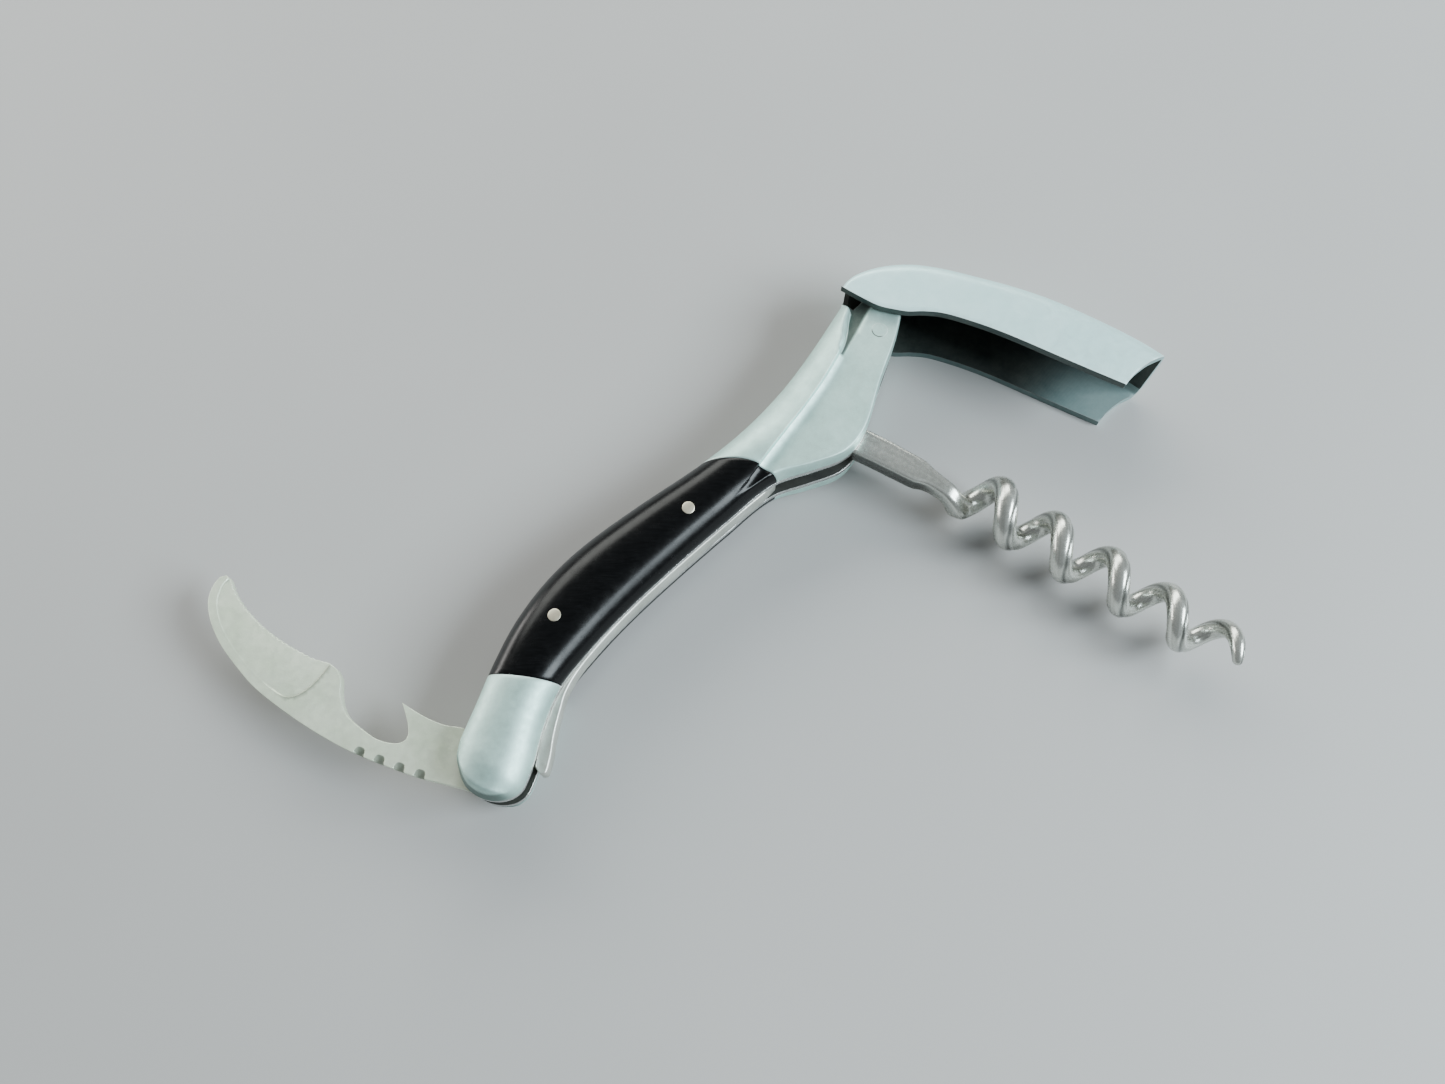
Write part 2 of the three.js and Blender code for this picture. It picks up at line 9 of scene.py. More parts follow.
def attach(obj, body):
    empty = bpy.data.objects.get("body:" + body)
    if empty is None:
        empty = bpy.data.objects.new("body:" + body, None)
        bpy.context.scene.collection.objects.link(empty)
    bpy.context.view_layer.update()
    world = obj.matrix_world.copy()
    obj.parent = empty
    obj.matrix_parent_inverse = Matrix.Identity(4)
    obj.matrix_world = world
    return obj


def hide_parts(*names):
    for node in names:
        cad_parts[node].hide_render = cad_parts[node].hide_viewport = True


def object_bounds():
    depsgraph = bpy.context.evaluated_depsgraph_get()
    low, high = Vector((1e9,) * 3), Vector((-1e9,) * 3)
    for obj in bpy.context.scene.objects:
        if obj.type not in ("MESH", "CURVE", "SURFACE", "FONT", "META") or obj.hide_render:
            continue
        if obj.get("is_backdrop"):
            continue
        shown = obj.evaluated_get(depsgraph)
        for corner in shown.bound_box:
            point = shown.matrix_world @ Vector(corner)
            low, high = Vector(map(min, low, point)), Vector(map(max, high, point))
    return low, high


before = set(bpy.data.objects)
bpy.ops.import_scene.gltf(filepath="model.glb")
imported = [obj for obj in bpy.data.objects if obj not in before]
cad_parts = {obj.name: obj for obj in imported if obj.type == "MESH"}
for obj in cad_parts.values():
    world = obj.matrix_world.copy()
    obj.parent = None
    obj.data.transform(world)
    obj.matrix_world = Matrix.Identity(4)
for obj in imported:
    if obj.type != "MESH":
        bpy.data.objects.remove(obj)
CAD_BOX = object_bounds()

# ---- dimensions, mm
# Handle frame: x from the knife end to the lever end, +y towards the back, z 0 at mid-thickness.
MM = 0.001
HALF = 7.5
SLOT_HALF = 2.0
LINER_FACE = 3.0
DOME_FOOT = 3.5
RECESS = 5.8
CHEEK_INNER = 6.1
WEB = 1.3
KNIFE_PIVOT = (1.2, -0.3)
WORM_PIVOT = (79.7, -7.6)
LEVER_PIVOT = (103.2, 0.0)
KNIFE_OPEN = 90
WORM_OPEN = 92
LEVER_OPEN = 98
HANDLE_TURN = 52.5
HANDLE_AT = (-34.975, -42.441)

BACK = [
    (-4, 4.6), (2, 6.4), (7, 8), (13, 10), (20, 11.7), (28, 12.3), (36, 11.5),
    (46, 9.1), (59, 5.35), (68, 3.6), (78, 2.9), (87, 3.3), (99.1, 4.6),
]
BELLY = [
    (-4, -6.4), (1, -6.2), (5, -4.9), (10, -2.5), (16, -0.6), (22, -0.3), (31, -0.75), (41, -2),
    (54, -4.15), (64, -6.2), (70, -9.9), (74.5, -12.6), (78, -13.2), (82, -12.6),
    (90, -9.7), (98, -7.2), (103.2, -5), (106.6, -2.9), (108.2, -1.2),
]
PLATE_BACK = [(98.9, 2.5), (101, 2.1), (103.2, 3), (105.6, 3.2), (108.2, 0.8)]
HANDLE_START = -3.8
HANDLE_END = 108.1
TIP_X = 98.8
CAP_RADIUS = 5.4
PLATE_CAP_RADIUS = 3.0
CAP_MIDDLE_Y = -0.3
RIDGE = [
    (52, -3.75), (63, -3.15), (71, -2.85), (79, -2.6), (85, -2.1), (91, -1),
    (94.2, 0.35), (96.3, 1.5), (98.4, 2.45),
]
POCKET_EDGE = [(89.5, -2.1), (95.8, -1.1), (99.8, -0.4), (101.6, -0.2)]
POCKET_START = 89.5
POCKET_STOP = 101.6
POCKET_RIM = 0.1
POCKET_SLOPE = 0.38
POCKET_REACH = 2.6
RIDGE_START = 52
RIDGE_COLUMNS = 54
RIDGE_END = 98.45
RIDGE_CORNER = 0.8
RIDGE_SLANT = 0.88
WALL_SLOPE = 2.1
COVE_HEIGHT = 0.5
COVE_WIDTH = 1.4
DOME_POWER = 2.3
DOME_ROOT = 0.55
CAP_BAND = 2.3
CAP_BAND_SLOPE = 3.0
CAP_BAND_START = -3.0
CAP_BAND_END = 1.0
SEAM_GAP = 0.03
SEAM_DEPTH = 0.09
SEAM_WIDTH = 0.16
FOOT_INSET = 0.07
NOSE_HOLLOW = 5.55
WEB_END = -0.6
KNIFE_SEAM = [(-2.4, 17.6), (10.2, 10.2)]
LEVER_SEAM = [(-7.6, 64.7), (-3.6, 64.1), (-0.6, 63.1), (2.9, 60.9), (6.4, 58.4)]

SPINE = [
    (51, -13.2), (58.5, -14.7), (66, -15.25), (75, -15.25), (82.5, -14.5), (90.7, -12.9),
    (97.5, -11.2), (102.6, -9), (106.3, -6), (108.9, -2.5), (109.8, 0.4), (109.5, 2.45),
]
OPEN_EDGE = [
    (51, -4.2), (63, -3.55), (71, -3.25), (79, -3), (85, -2.5), (91.2, -1.45), (94.6, -0.1),
    (97.1, 1.35), (99.4, 2.15), (102.1, 2.8), (105.8, 2.75), (109.5, 2.45),
]
FOOT_CUT = [(-16.5, 54.1), (-12.2, 55.5), (-9.8, 57.1), (-6.4, 58.5), (-4.4, 58.9), (-2, 59.3)]

SCALE_RIVETS = {"front": (24, 6.5), "rear": (50.7, 1.2)}
SCALE_RIVET_RADIUS = 1.05
SPACER_PIN = (97.6, -4)
SPACER_PIN_RADIUS = 1.45
LEVER_PIN_RADIUS = 1.6

SPRING_HALF = 1.9
SPRING_REAR = (64.7, -4.9)
SPRING_REAR_RADIUS = 1.1
SPRING_OUTER = [
    (4.45, -6.45), (4.95, -6.95), (5.7, -6.85), (7.6, -5.9), (10.4, -4.2), (13.6, -2.6),
    (17, -1.2), (22, -0.6), (31, -0.9), (41, -2.1), (54, -4.2), (62, -5.7),
]
SPRING_INNER = [
    (63.4, -3.7), (57, -1.3), (50, 0.7), (42, 1.8), (33, 1.6), (24, 0.95), (18, 0.5),
    (14, -0.4), (10.5, -1.9), (7.3, -3.5), (4.8, -5),
]
KNIFE_BACK = [
    (1.4, 5.3), (4.7, 6.7), (8.8, 8.5), (13.2, 10), (17.8, 11.4), (22.2, 12.4), (27.5, 13.2),
    (33.2, 13.7), (38.7, 13.8), (43.8, 13.1), (47.9, 12.2), (52, 10.5), (54.8, 8.4), (56.1, 6),
    (56.2, 4.4),
]
KNIFE_EDGE = [
    (55.6, 3.65), (54.2, 3.95), (52.6, 4.7), (49.3, 5.6), (44.8, 6.05), (40.7, 5.9), (36.7, 5.3),
    (34.1, 4.7), (31.9, 3.9),
]
CAP_NOTCH = [
    (30.2, 3.9), (28.6, 4.7), (26.6, 6.7), (24, 8.1), (20.8, 8.3), (17.5, 8), (15, 6.9),
    (14, 5.7), (14.2, 4.5), (15.7, 3.1), (18.3, 1.5),
]
KNIFE_ROOT = [(16.2, 1.3), (13.1, 0.8), (10.4, -0.1), (8.2, -1.3), (4.2, -2.6)]
GRIND = [
    (31.7, 3.2), (31.5, 5), (31.4, 6.9), (31.6, 8.9), (32.2, 10.7), (33.4, 11.9), (35.5, 12.3),
    (39, 12.4), (43.8, 11.8), (47.7, 10.9), (51.2, 9.4), (53.6, 7.6), (54.8, 5.6), (55.1, 4.4),
]
TANG_RADIUS = 4.9
TOOTH_PITCH = 1.02
TOOTH_DEPTH = 0.2
BLADE_HALF = 1.0
GRIND_STEP = 0.14
GRIND_FALL = 0.25
GRIND_WIDTH = 7.5
NOTCH_DEPTH = 1.2
NOTCH_HALF = 0.86
NOTCH_POWER = 2.8
THUMB_NOTCHES = [(18, 11.7), (14.7, 10.7), (11.5, 9.6), (8.3, 8.4)]
SHANK = [
    # x, y, z, half width, half height, squareness
    (2.7, 0.0, 0, 1.9, 1.8, 4), (1.6, 0.0, 0, 2.6, 1.8, 6), (0, 0.0, 0, 2.8, 1.8, 8),
    (-4, -0.15, 0, 2.55, 1.8, 8), (-9, -0.72, 0, 2.48, 1.8, 8), (-13, -1.05, 0, 2.38, 1.8, 8),
    (-16.2, -1.3, 0, 2.26, 1.8, 8), (-17.4, -1.4, 0, 1.95, 1.78, 7),
    (-18.7, -1.45, 0, 1.62, 1.75, 6), (-20.4, -1.42, -0.02, 1.5, 1.72, 5),
    (-22.0, -1.35, -0.15, 1.5, 1.7, 4), (-23.3, -1.2, -0.8, 1.6, 1.75, 3),
]
HELIX_Y = -3.65
HELIX_START = -28.7
HELIX_PITCH = 10.45
HELIX_FIRST = -2.45
HELIX_LAST = 8 * math.pi + 2.4
HELIX_RADII = (3.42, 2.85)
WIRE_RADII = (1.97, 1.55)
WIRE_TIP = 0.55
CREASES = ((0.75, 0.2), (-1.5, 0.26))
CREASE_DEPTH = 0.1


# ---- curves
def through(points):
    """y as a smooth function of x through the points."""
    xs, ys = np.array(points, float).T
    lower = np.maximum(np.arange(len(xs)) - 1, 0)
    upper = np.minimum(np.arange(len(xs)) + 1, len(xs) - 1)
    slope = (ys[upper] - ys[lower]) / (xs[upper] - xs[lower])

    def at(x):
        x = np.asarray(x, float)
        i = np.clip(np.searchsorted(xs, x) - 1, 0, len(xs) - 2)
        width = xs[i + 1] - xs[i]
        t = np.clip((x - xs[i]) / width, 0, 1)
        base = (1 + 2 * t) * (1 - t) ** 2 * ys[i] + t * t * (3 - 2 * t) * ys[i + 1]
        return base + width * (t * (1 - t) ** 2 * slope[i] + t * t * (t - 1) * slope[i + 1])

    return at


def smooth(points, per_span):
    """A Catmull-Rom curve through points of any dimension."""
    p = np.array(points, float)
    out = []
    for i in range(len(p) - 1):
        before, after = p[max(i - 1, 0)], p[min(i + 2, len(p) - 1)]
        v0, v1 = (p[i + 1] - before) / 2, (after - p[i]) / 2
        for t in np.arange(per_span) / per_span:
            a = 2 * t**3 - 3 * t**2 + 1
            b = t**3 - 2 * t**2 + t
            out.append(a * p[i] + b * v0 + (1 - a) * p[i + 1] + (t**3 - t**2) * v1)
    return np.array(out + [p[-1]])


def lengths(p):
    """Distance along a line to each of its points."""
    return np.concatenate([[0], np.cumsum(np.linalg.norm(np.diff(p, axis=0), axis=1))])


def unit(vectors):
    return vectors / np.linalg.norm(vectors, axis=1)[:, None]


def resample(points, count, ease=None):
    """Points spread evenly along a line, or by ease(share)."""
    p = np.array(points, float)
    length = lengths(p)
    share = np.linspace(0, 1, count)
    if ease is not None:
        share = ease(share)
    return np.stack([np.interp(share * length[-1], length, p[:, k]) for k in range(p.shape[1])], 1)


def arc(centre, radius, start, stop, steps):
    a = np.radians(np.linspace(start, stop, steps + 1))
    return np.stack([centre[0] + radius * np.cos(a), centre[1] + radius * np.sin(a)], 1)


def step(low, high, x):
    """0 at low and 1 at high, smooth between them; low may be the greater."""
    t = np.clip((np.asarray(x, float) - low) / (high - low), 0, 1)
    return t * t * (3 - 2 * t)


def both_ends(count):
    """Shares from 0 to 1 that are closer together at either end."""
    return (1 - np.cos(np.linspace(0, math.pi, count))) / 2


def soft_min(a, b, k):
    """The lesser of a and b, rounded where they are within k of each other."""
    h = np.clip(0.5 + 0.5 * (b - a) / k, 0, 1)
    return b * (1 - h) + a * h - k * h * (1 - h)


# ---- meshes
def turned(points, pivot, degrees):
    a = math.radians(degrees)
    out = np.array(points, float)
    x, y = out[:, 0].copy(), out[:, 1].copy()
    out[:, 0] = pivot[0] + x * math.cos(a) - y * math.sin(a)
    out[:, 1] = pivot[1] + x * math.sin(a) + y * math.cos(a)
    return out


def to_row(points):
    """From the handle frame in mm to the shared frame in metres."""
    out = turned(points, HANDLE_AT, HANDLE_TURN)
    out[:, 2] += HALF
    return out * MM


def modify(obj, kind, **settings):
    """Gives the object its mesh with a modifier of this kind applied."""
    modifier = obj.modifiers.new(kind, kind)
    for name, value in settings.items():
        setattr(modifier, name, value)
    depsgraph = bpy.context.evaluated_depsgraph_get()
    made = bpy.data.meshes.new_from_object(obj.evaluated_get(depsgraph))
    obj.modifiers.clear()
    obj.data = made


def add_uv(mesh, uv):
    layer = mesh.uv_layers.new(name="along")
    loops = np.zeros(len(mesh.loops), int)
    mesh.loops.foreach_get("vertex_index", loops)
    layer.data.foreach_set("uv", np.array(uv, np.float32)[loops].ravel())


def add_dark(mesh, dark):
    """Painted shade: how far the look turns to dark rough metal, for each face or each point."""
    domain = "FACE" if len(dark) == len(mesh.polygons) else "POINT"
    shade = mesh.attributes.new("dark", "FLOAT", domain)
    shade.data.foreach_set("value", np.array(dark, np.float32))


def clean(mesh, merge):
    b = bmesh.new()
    b.from_mesh(mesh)
    if merge:
        bmesh.ops.remove_doubles(b, verts=b.verts, dist=2e-7)
        bmesh.ops.dissolve_degenerate(b, edges=b.edges, dist=1e-7)
    bmesh.ops.recalc_face_normals(b, faces=b.faces)
    b.to_mesh(mesh)
    b.free()


def new_object(name, data):
    obj = bpy.data.objects.new(name, data)
    bpy.context.scene.collection.objects.link(obj)
    return obj


def piece(name, points, faces, body, slot, replaced, sharp=38, bevel=0, flat=False, uv=None,
          look=None, normals=None, dark=None, cut=None):
    """A mesh in the handle frame, in mm, made into a piece that rides on a body."""
    mesh = bpy.data.meshes.new(name)
    mesh.from_pydata(to_row(points).tolist(), [], faces)
    if uv is not None:
        add_uv(mesh, uv)
    if dark is not None:
        add_dark(mesh, dark)
    clean(mesh, merge=normals is None)
    obj = new_object(name, mesh)
    if cut is not None:
        modify(obj, "BOOLEAN", operation="DIFFERENCE", solver="EXACT", object=cut)
        bpy.data.objects.remove(cut)
    for polygon in obj.data.polygons:
        polygon.use_smooth = True
    if bevel:
        modify(obj, "BEVEL", width=bevel * MM, segments=2, limit_method="ANGLE",
               angle_limit=math.radians(50), use_clamp_overlap=True)
    if normals is None:
        obj.data.set_sharp_from_angle(angle=math.radians(sharp))
    else:
        ends = unit(turned(normals, (0, 0), HANDLE_TURN))
        obj.data.normals_split_custom_set_from_vertices(ends.tolist())
    if flat:
        modify(obj, "WEIGHTED_NORMAL", keep_sharp=True)
    obj.data.materials.clear()
    obj.data.materials.append(LOOKS[look or slot])
    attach(obj, body)
    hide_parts(*replaced)


def ring_faces(rings, count, closed=True):
    """Quads between rings of count points that follow each other."""
    faces = []
    for r in range(rings - 1):
        for i in range(count if closed else count - 1):
            a, b = r * count + i, r * count + (i + 1) % count
            faces.append((a, b, b + count, a + count))
    return faces


def grid_solid(top, bottom):
    """A closed mesh between two equal grids of points (rows, columns, 3)."""
    rows, cols = top.shape[:2]
    points = np.concatenate([top.reshape(-1, 3), bottom.reshape(-1, 3)])
    low = rows * cols
    faces = []
    for r in range(rows - 1):
        for c in range(cols - 1):
            a = r * cols + c
            faces.append((a, a + 1, a + cols + 1, a + cols))
            faces.append((low + a, low + a + cols, low + a + cols + 1, low + a + 1))
    rim = list(range(cols))
    rim += [r * cols + cols - 1 for r in range(1, rows)]
    rim += [(rows - 1) * cols + c for c in range(cols - 2, -1, -1)]
    rim += [r * cols for r in range(rows - 2, 0, -1)]
    for a, b in zip(rim, rim[1:] + rim[:1]):
        faces.append((a, low + a, low + b, b))
    return points, faces


def inside(polygon, points):
    """Which of the points are inside the polygon."""
    x, y = points[:, 0], points[:, 1]
    hit = np.zeros(len(points), bool)
    for (x0, y0), (x1, y1) in zip(polygon, np.roll(polygon, -1, axis=0)):
        if y0 == y1:
            continue
        crosses = (y0 > y) != (y1 > y)
        hit ^= crosses & (x < (x1 - x0) * (y - y0) / (y1 - y0) + x0)
    return hit


def offset(loop, distance):
    """The loop moved towards its left by a small distance."""
    ahead = unit(np.roll(loop, -1, axis=0) - loop)
    behind = unit(loop - np.roll(loop, 1, axis=0))
    mean = ahead + behind
    mean /= np.maximum(np.linalg.norm(mean, axis=1), 0.2)[:, None]
    return loop + distance * np.stack([-mean[:, 1], mean[:, 0]], 1)


def area(loop):
    x, y = loop.T
    return 0.5 * np.sum(x * np.roll(y, -1) - np.roll(x, -1) * y)


def slab(outline, high, low, rounding, spacing=0, lines=()):
    """A flat piece from an outline: high and low give its faces, its rims are rounded.

    lines are extra loops for the faces to follow. Returns points, faces and the points' normals."""
    loop = outline if area(outline) > 0 else outline[::-1]
    length = len(loop)
    side = unit(offset(loop, -1.0) - loop)
    points, drop, outward, edges = [], [], [], []
    for distance, fall, lean in ((0, 1, 0.95), (0.3 * rounding, 0.3, 0.7), (rounding, 0, 0)):
        start = length * len(points)
        points.append(offset(loop, distance) if distance else loop)
        drop.append(np.full(length, fall * rounding))
        outward.append(side * lean)
        edges += [(start + i, start + (i + 1) % length) for i in range(length)]
    for line in lines:
        start = sum(len(q) for q in points)
        points.append(line)
        drop.append(np.zeros(len(line)))
        outward.append(np.zeros((len(line), 2)))
        edges += [(start + i, start + i + 1) for i in range(len(line) - 1)]
    if spacing:
        low_corner, high_corner = loop.min(0), loop.max(0)
        gx = np.arange(low_corner[0], high_corner[0], spacing)
        gy = np.arange(low_corner[1], high_corner[1], spacing)
        grid = np.array([(x + spacing / 2 * (j % 2), y) for j, y in enumerate(gy) for x in gx])
        grid = grid[inside(loop, grid)]
        rims = np.concatenate(points)
        near = np.array([np.min(np.sum((rims - g) ** 2, axis=1)) for g in grid])
        grid = grid[near > (0.6 * spacing) ** 2]
        points.append(grid)
        drop.append(np.zeros(len(grid)))
        outward.append(np.zeros((len(grid), 2)))
    flat, drop, outward = np.concatenate(points), np.concatenate(drop), np.concatenate(outward)
    made = delaunay_2d_cdt([Vector(q) for q in flat.tolist()], edges, [], 0, 1e-5)
    verts = np.array([tuple(v) for v in made[0]])
    source = np.array([ids[0] if ids else -1 for ids in made[3]])
    falls = np.where(source >= 0, drop[source], 0)
    sides = np.where(source[:, None] >= 0, outward[source], 0)
    triangles = np.array([f for f in made[2] if len(f) == 3])
    triangles = triangles[inside(loop, verts[triangles].mean(axis=1))]
    count = len(verts)
    faces = [tuple(t) for t in triangles.tolist()]
    faces += [tuple(count + i for i in reversed(t)) for t in triangles.tolist()]
    where = {i: new for new, ids in enumerate(made[3]) for i in ids}
    for i in range(length):
        a, b = where[i], where[(i + 1) % length]
        faces.append((a, b, count + b, count + a))
    both, normals = [], []
    for face, sign in ((high, 1), (low, -1)):
        both.append(np.column_stack([verts, face(verts) - sign * falls]))
        reach = 0.06
        slope = [(face(verts + d) - face(verts - d)) / (2 * reach) for d in np.eye(2) * reach]
        up = unit(np.column_stack([-slope[0], -slope[1], np.ones(count)]) * sign)
        lean = np.linalg.norm(sides, axis=1)[:, None]
        normals.append(np.column_stack([sides, np.zeros(count)]) + up * np.sqrt(1 - lean**2))
    return np.concatenate(both), faces, np.concatenate(normals)


def level(value):
    return lambda p, *_: np.full(len(p), float(value))


def mirrored(points):
    out = points.copy()
    out[:, 2] *= -1
    return out


# ---- materials
def connect(tree, node, **inputs):
    """Links or sets a node's inputs; an underscore in a name stands for a space."""
    for name, value in inputs.items():
        socket = node.inputs[name.replace("_", " ")]
        if isinstance(value, bpy.types.NodeSocket):
            tree.links.new(value, socket)
        elif value is not None:
            socket.default_value = value
    return node


def noise(tree, scale, detail, where, rough=0.5):
    node = tree.nodes.new("ShaderNodeTexNoise")
    connect(tree, node, Vector=where, Scale=scale, Detail=detail, Roughness=rough)
    return node.outputs["Fac"]


def ramp(tree, value, low, high, colour_low, colour_high):
    node = tree.nodes.new("ShaderNodeValToRGB")
    node.color_ramp.elements[0].position = low
    node.color_ramp.elements[1].position = high
    node.color_ramp.elements[0].color = colour_low
    node.color_ramp.elements[1].color = colour_high
    tree.links.new(value, node.inputs["Fac"])
    return node.outputs["Color"]


def grey(v):
    return (v, v, v, 1)


def bump(tree, height, strength, distance, normal=None):
    node = tree.nodes.new("ShaderNodeBump")
    connect(tree, node, Height=height, Strength=strength, Distance=distance, Normal=normal)
    return node.outputs["Normal"]


def blend_colour(tree, factor, a, b):
    node = tree.nodes.new("ShaderNodeMix")
    node.data_type = "RGBA"
    tree.links.new(factor, node.inputs["Factor"])
    for socket, value in (("A", a), ("B", b)):
        target = [i for i in node.inputs if i.name == socket and i.type == "RGBA"][0]
        if isinstance(value, tuple):
            target.default_value = value
        else:
            tree.links.new(value, target)
    return [o for o in node.outputs if o.type == "RGBA"][0]


def edge_mask(tree, radius, low, high):
    """1 near a convex or concave edge, from how far a rounded normal turns."""
    bevel = connect(tree, tree.nodes.new("ShaderNodeBevel"), Radius=radius)
    bevel.samples = 4
    geometry = tree.nodes.new("ShaderNodeNewGeometry")
    dot = tree.nodes.new("ShaderNodeVectorMath")
    dot.operation = "DOT_PRODUCT"
    tree.links.new(bevel.outputs["Normal"], dot.inputs[0])
    tree.links.new(geometry.outputs["Normal"], dot.inputs[1])
    return ramp(tree, dot.outputs["Value"], low, high, grey(1), grey(0))


def stretched(tree, where, scale, turn=0.0):
    node = tree.nodes.new("ShaderNodeMapping")
    connect(tree, node, Vector=where, Scale=scale, Rotation=(0, 0, turn))
    return node.outputs["Vector"]


def darkness(tree):
    """The painted shade that add_dark put on the mesh."""
    node = tree.nodes.new("ShaderNodeAttribute")
    node.attribute_name = "dark"
    return node.outputs["Fac"]


def start_material(name, metallic, roughness):
    m = bpy.data.materials.new(name)
    m.use_nodes = True
    tree = m.node_tree
    shader = connect(tree, tree.nodes["Principled BSDF"], Metallic=metallic, Roughness=roughness)
    return m, tree, shader, tree.nodes.new("ShaderNodeTexCoord")


def steel(name, dark, light, rough, grain, grain_depth,
          scratch=0.0, along=0.0, wear_and_highlight=True, metal=1.0):
    """Steel with cloudy tone, a fine grain, faint scratches along one direction, bright edges that are
    partly wear and partly a painted highlight, and painted shade by the dark attribute.
    """
    m, tree, shader, place = start_material(name, metal, rough[0])
    where = place.outputs["Object"]
    clouds = noise(tree, 170, 7, where, 0.74)
    colour = ramp(tree, clouds, 0.3, 0.72, dark, light)
    if wear_and_highlight:
        # edges, convex and concave, turn near white: partly wear, partly a painted highlight
        mask = edge_mask(tree, 0.00035, 0.75, 0.985)
        colour = blend_colour(tree, mask, colour, (0.93, 0.94, 0.92, 1))
    specks = noise(tree, 900, 3, where, 0.6)
    tone = ramp(tree, specks, 0.3, 0.7, grey(rough[0]), grey(rough[1]))
    # painted shade: hollows, inner faces and slots turn near black and rougher by the dark attribute
    shade = darkness(tree)
    painted_shade_colour = ramp(tree, clouds, 0.35, 0.7, (0.012, 0.014, 0.012, 1), (0.06, 0.062, 0.052, 1))
    colour = blend_colour(tree, shade, colour, painted_shade_colour)
    tone = blend_colour(tree, shade, tone, grey(0.62))
    normal = bump(tree, noise(tree, grain, 3, where, 0.6), 0.5, grain_depth)
    if scratch:
        marks = stretched(tree, where, (900, 14000, 6000), -along)
        normal = bump(tree, noise(tree, 1.0, 4, marks, 0.7), scratch, 0.00002, normal)
    connect(tree, shader, Base_Color=colour, Roughness=tone, Normal=normal)
    return m


def black_scale():
    m, tree, shader, place = start_material("black_scale", 0.0, 0.34)
    where = place.outputs["Object"]
    grain = noise(tree, 1.0, 5, stretched(tree, where, (260, 5200, 5200), -ALONG), 0.65)
    colour = ramp(tree, grain, 0.42, 0.78, (0.0008, 0.001, 0.0012, 1), (0.005, 0.0055, 0.006, 1))
    tone = ramp(tree, noise(tree, 700, 4, where, 0.6), 0.3, 0.75, grey(0.2), grey(0.3))
    connect(tree, shader, Base_Color=colour, Roughness=tone, Specular_IOR_Level=0.22,
            Normal=bump(tree, grain, 0.12, 0.00003))
    return m


def worm_steel():
    m, tree, shader, place = start_material("worm_steel", 0.85, 0.3)
    lines = noise(tree, 1.0, 3, stretched(tree, place.outputs["UV"], (0.03, 18, 1)), 0.6)
    colour = ramp(tree, lines, 0.3, 0.7, (0.42, 0.43, 0.39, 1), (0.8, 0.82, 0.76, 1))
    # painted shade on the shank's flat sides and in the wire's creases, from the dark attribute
    colour = blend_colour(tree, darkness(tree), colour, (0.03, 0.03, 0.028, 1))
    specks = noise(tree, 1500, 3, place.outputs["Object"], 0.6)
    tone = ramp(tree, specks, 0.3, 0.7, grey(0.2), grey(0.32))
    normal = bump(tree, specks, 0.25, 0.00003, bump(tree, lines, 0.35, 0.00008))
    connect(tree, shader, Base_Color=colour, Roughness=tone, Normal=normal)
    return m


ALONG = math.radians(HANDLE_TURN)
KNIFE_ALONG = math.radians(HANDLE_TURN + KNIFE_OPEN)
LOOKS = {
    "satin_steel": steel("satin_steel", (0.42, 0.6, 0.555, 1), (0.61, 0.83, 0.775, 1),
                         (0.5, 0.6), 5200, 0.00003, metal=0.8),
    # the lever's satin steel as a lighter, bluer copy: painted window light on the lever
    "lever_steel_lit": steel("lever_steel_lit", (0.58, 0.87, 0.87, 1), (0.7, 0.98, 0.98, 1),
                         (0.46, 0.56), 5200, 0.00003, metal=0.6),
    "polished_steel": steel("polished_steel", (0.55, 0.56, 0.55, 1), (0.68, 0.69, 0.67, 1),
                            (0.22, 0.32), 6000, 0.00001, 0.3, ALONG),
    "spring_steel": steel("spring_steel", (0.44, 0.45, 0.4, 1), (0.74, 0.76, 0.7, 1),
                          (0.34, 0.5), 2600, 0.00005, 0.3, ALONG, metal=0.75),
    "blade_steel": steel("blade_steel", (0.7, 0.81, 0.62, 1), (0.91, 0.99, 0.82, 1),
                         (0.38, 0.5), 4200, 0.00002, 0.35, KNIFE_ALONG, wear_and_highlight=False, metal=0.6),
    "rivet_metal": steel("rivet_metal", (0.62, 0.57, 0.43, 1), (0.8, 0.76, 0.62, 1),
                         (0.4, 0.5), 4000, 0.00002, wear_and_highlight=False),
    "washer_brass": steel("washer_brass", (0.5, 0.38, 0.2, 1), (0.66, 0.54, 0.32, 1),
                          (0.35, 0.5), 4000, 0.00002, wear_and_highlight=False),
    "black_scale": black_scale(),
    "worm_steel": worm_steel(),
}

# ---- handle surface
back_line, belly_line = through(BACK), through(BELLY)
plate_back_line, ridge_line = through(PLATE_BACK), through(RIDGE)
pocket_line, foot_line = through(POCKET_EDGE), through(FOOT_CUT)


def end_rounding(x):
    """0 at either end of the handle and 1 between them, along quarter circles."""
    from_start = np.clip((x - HANDLE_START) / CAP_RADIUS, 0, 1)
    from_end = np.clip((HANDLE_END - x) / PLATE_CAP_RADIUS, 0, 1)
    return np.sqrt(1 - (1 - from_start) ** 2) * np.sqrt(1 - (1 - from_end) ** 2)


def handle_edges(x):
    """y of the belly and of the back."""
    back = np.where(x < TIP_X, back_line(x), plate_back_line(x))
    e = end_rounding(x)
    return CAP_MIDDLE_Y + (belly_line(x) - CAP_MIDDLE_Y) * e, CAP_MIDDLE_Y + (back - CAP_MIDDLE_Y) * e


def from_cap_edge(x, y):
    """Distance to the outline round the knife end."""
    xs = HANDLE_START + 9 * np.linspace(0, 1, 260) ** 2
    belly, back = handle_edges(xs)
    outline = np.concatenate([np.column_stack([xs, belly]), np.column_stack([xs, back])])
    distance = np.full(np.shape(x), 9.0)
    near = np.asarray(x) < CAP_BAND_END + 1
    spots = np.column_stack([np.asarray(x)[near], np.asarray(y)[near]])
    if len(spots):
        distance[near] = np.hypot(*(spots[:, None] - outline[None]).transpose(2, 0, 1)).min(1)
    return distance


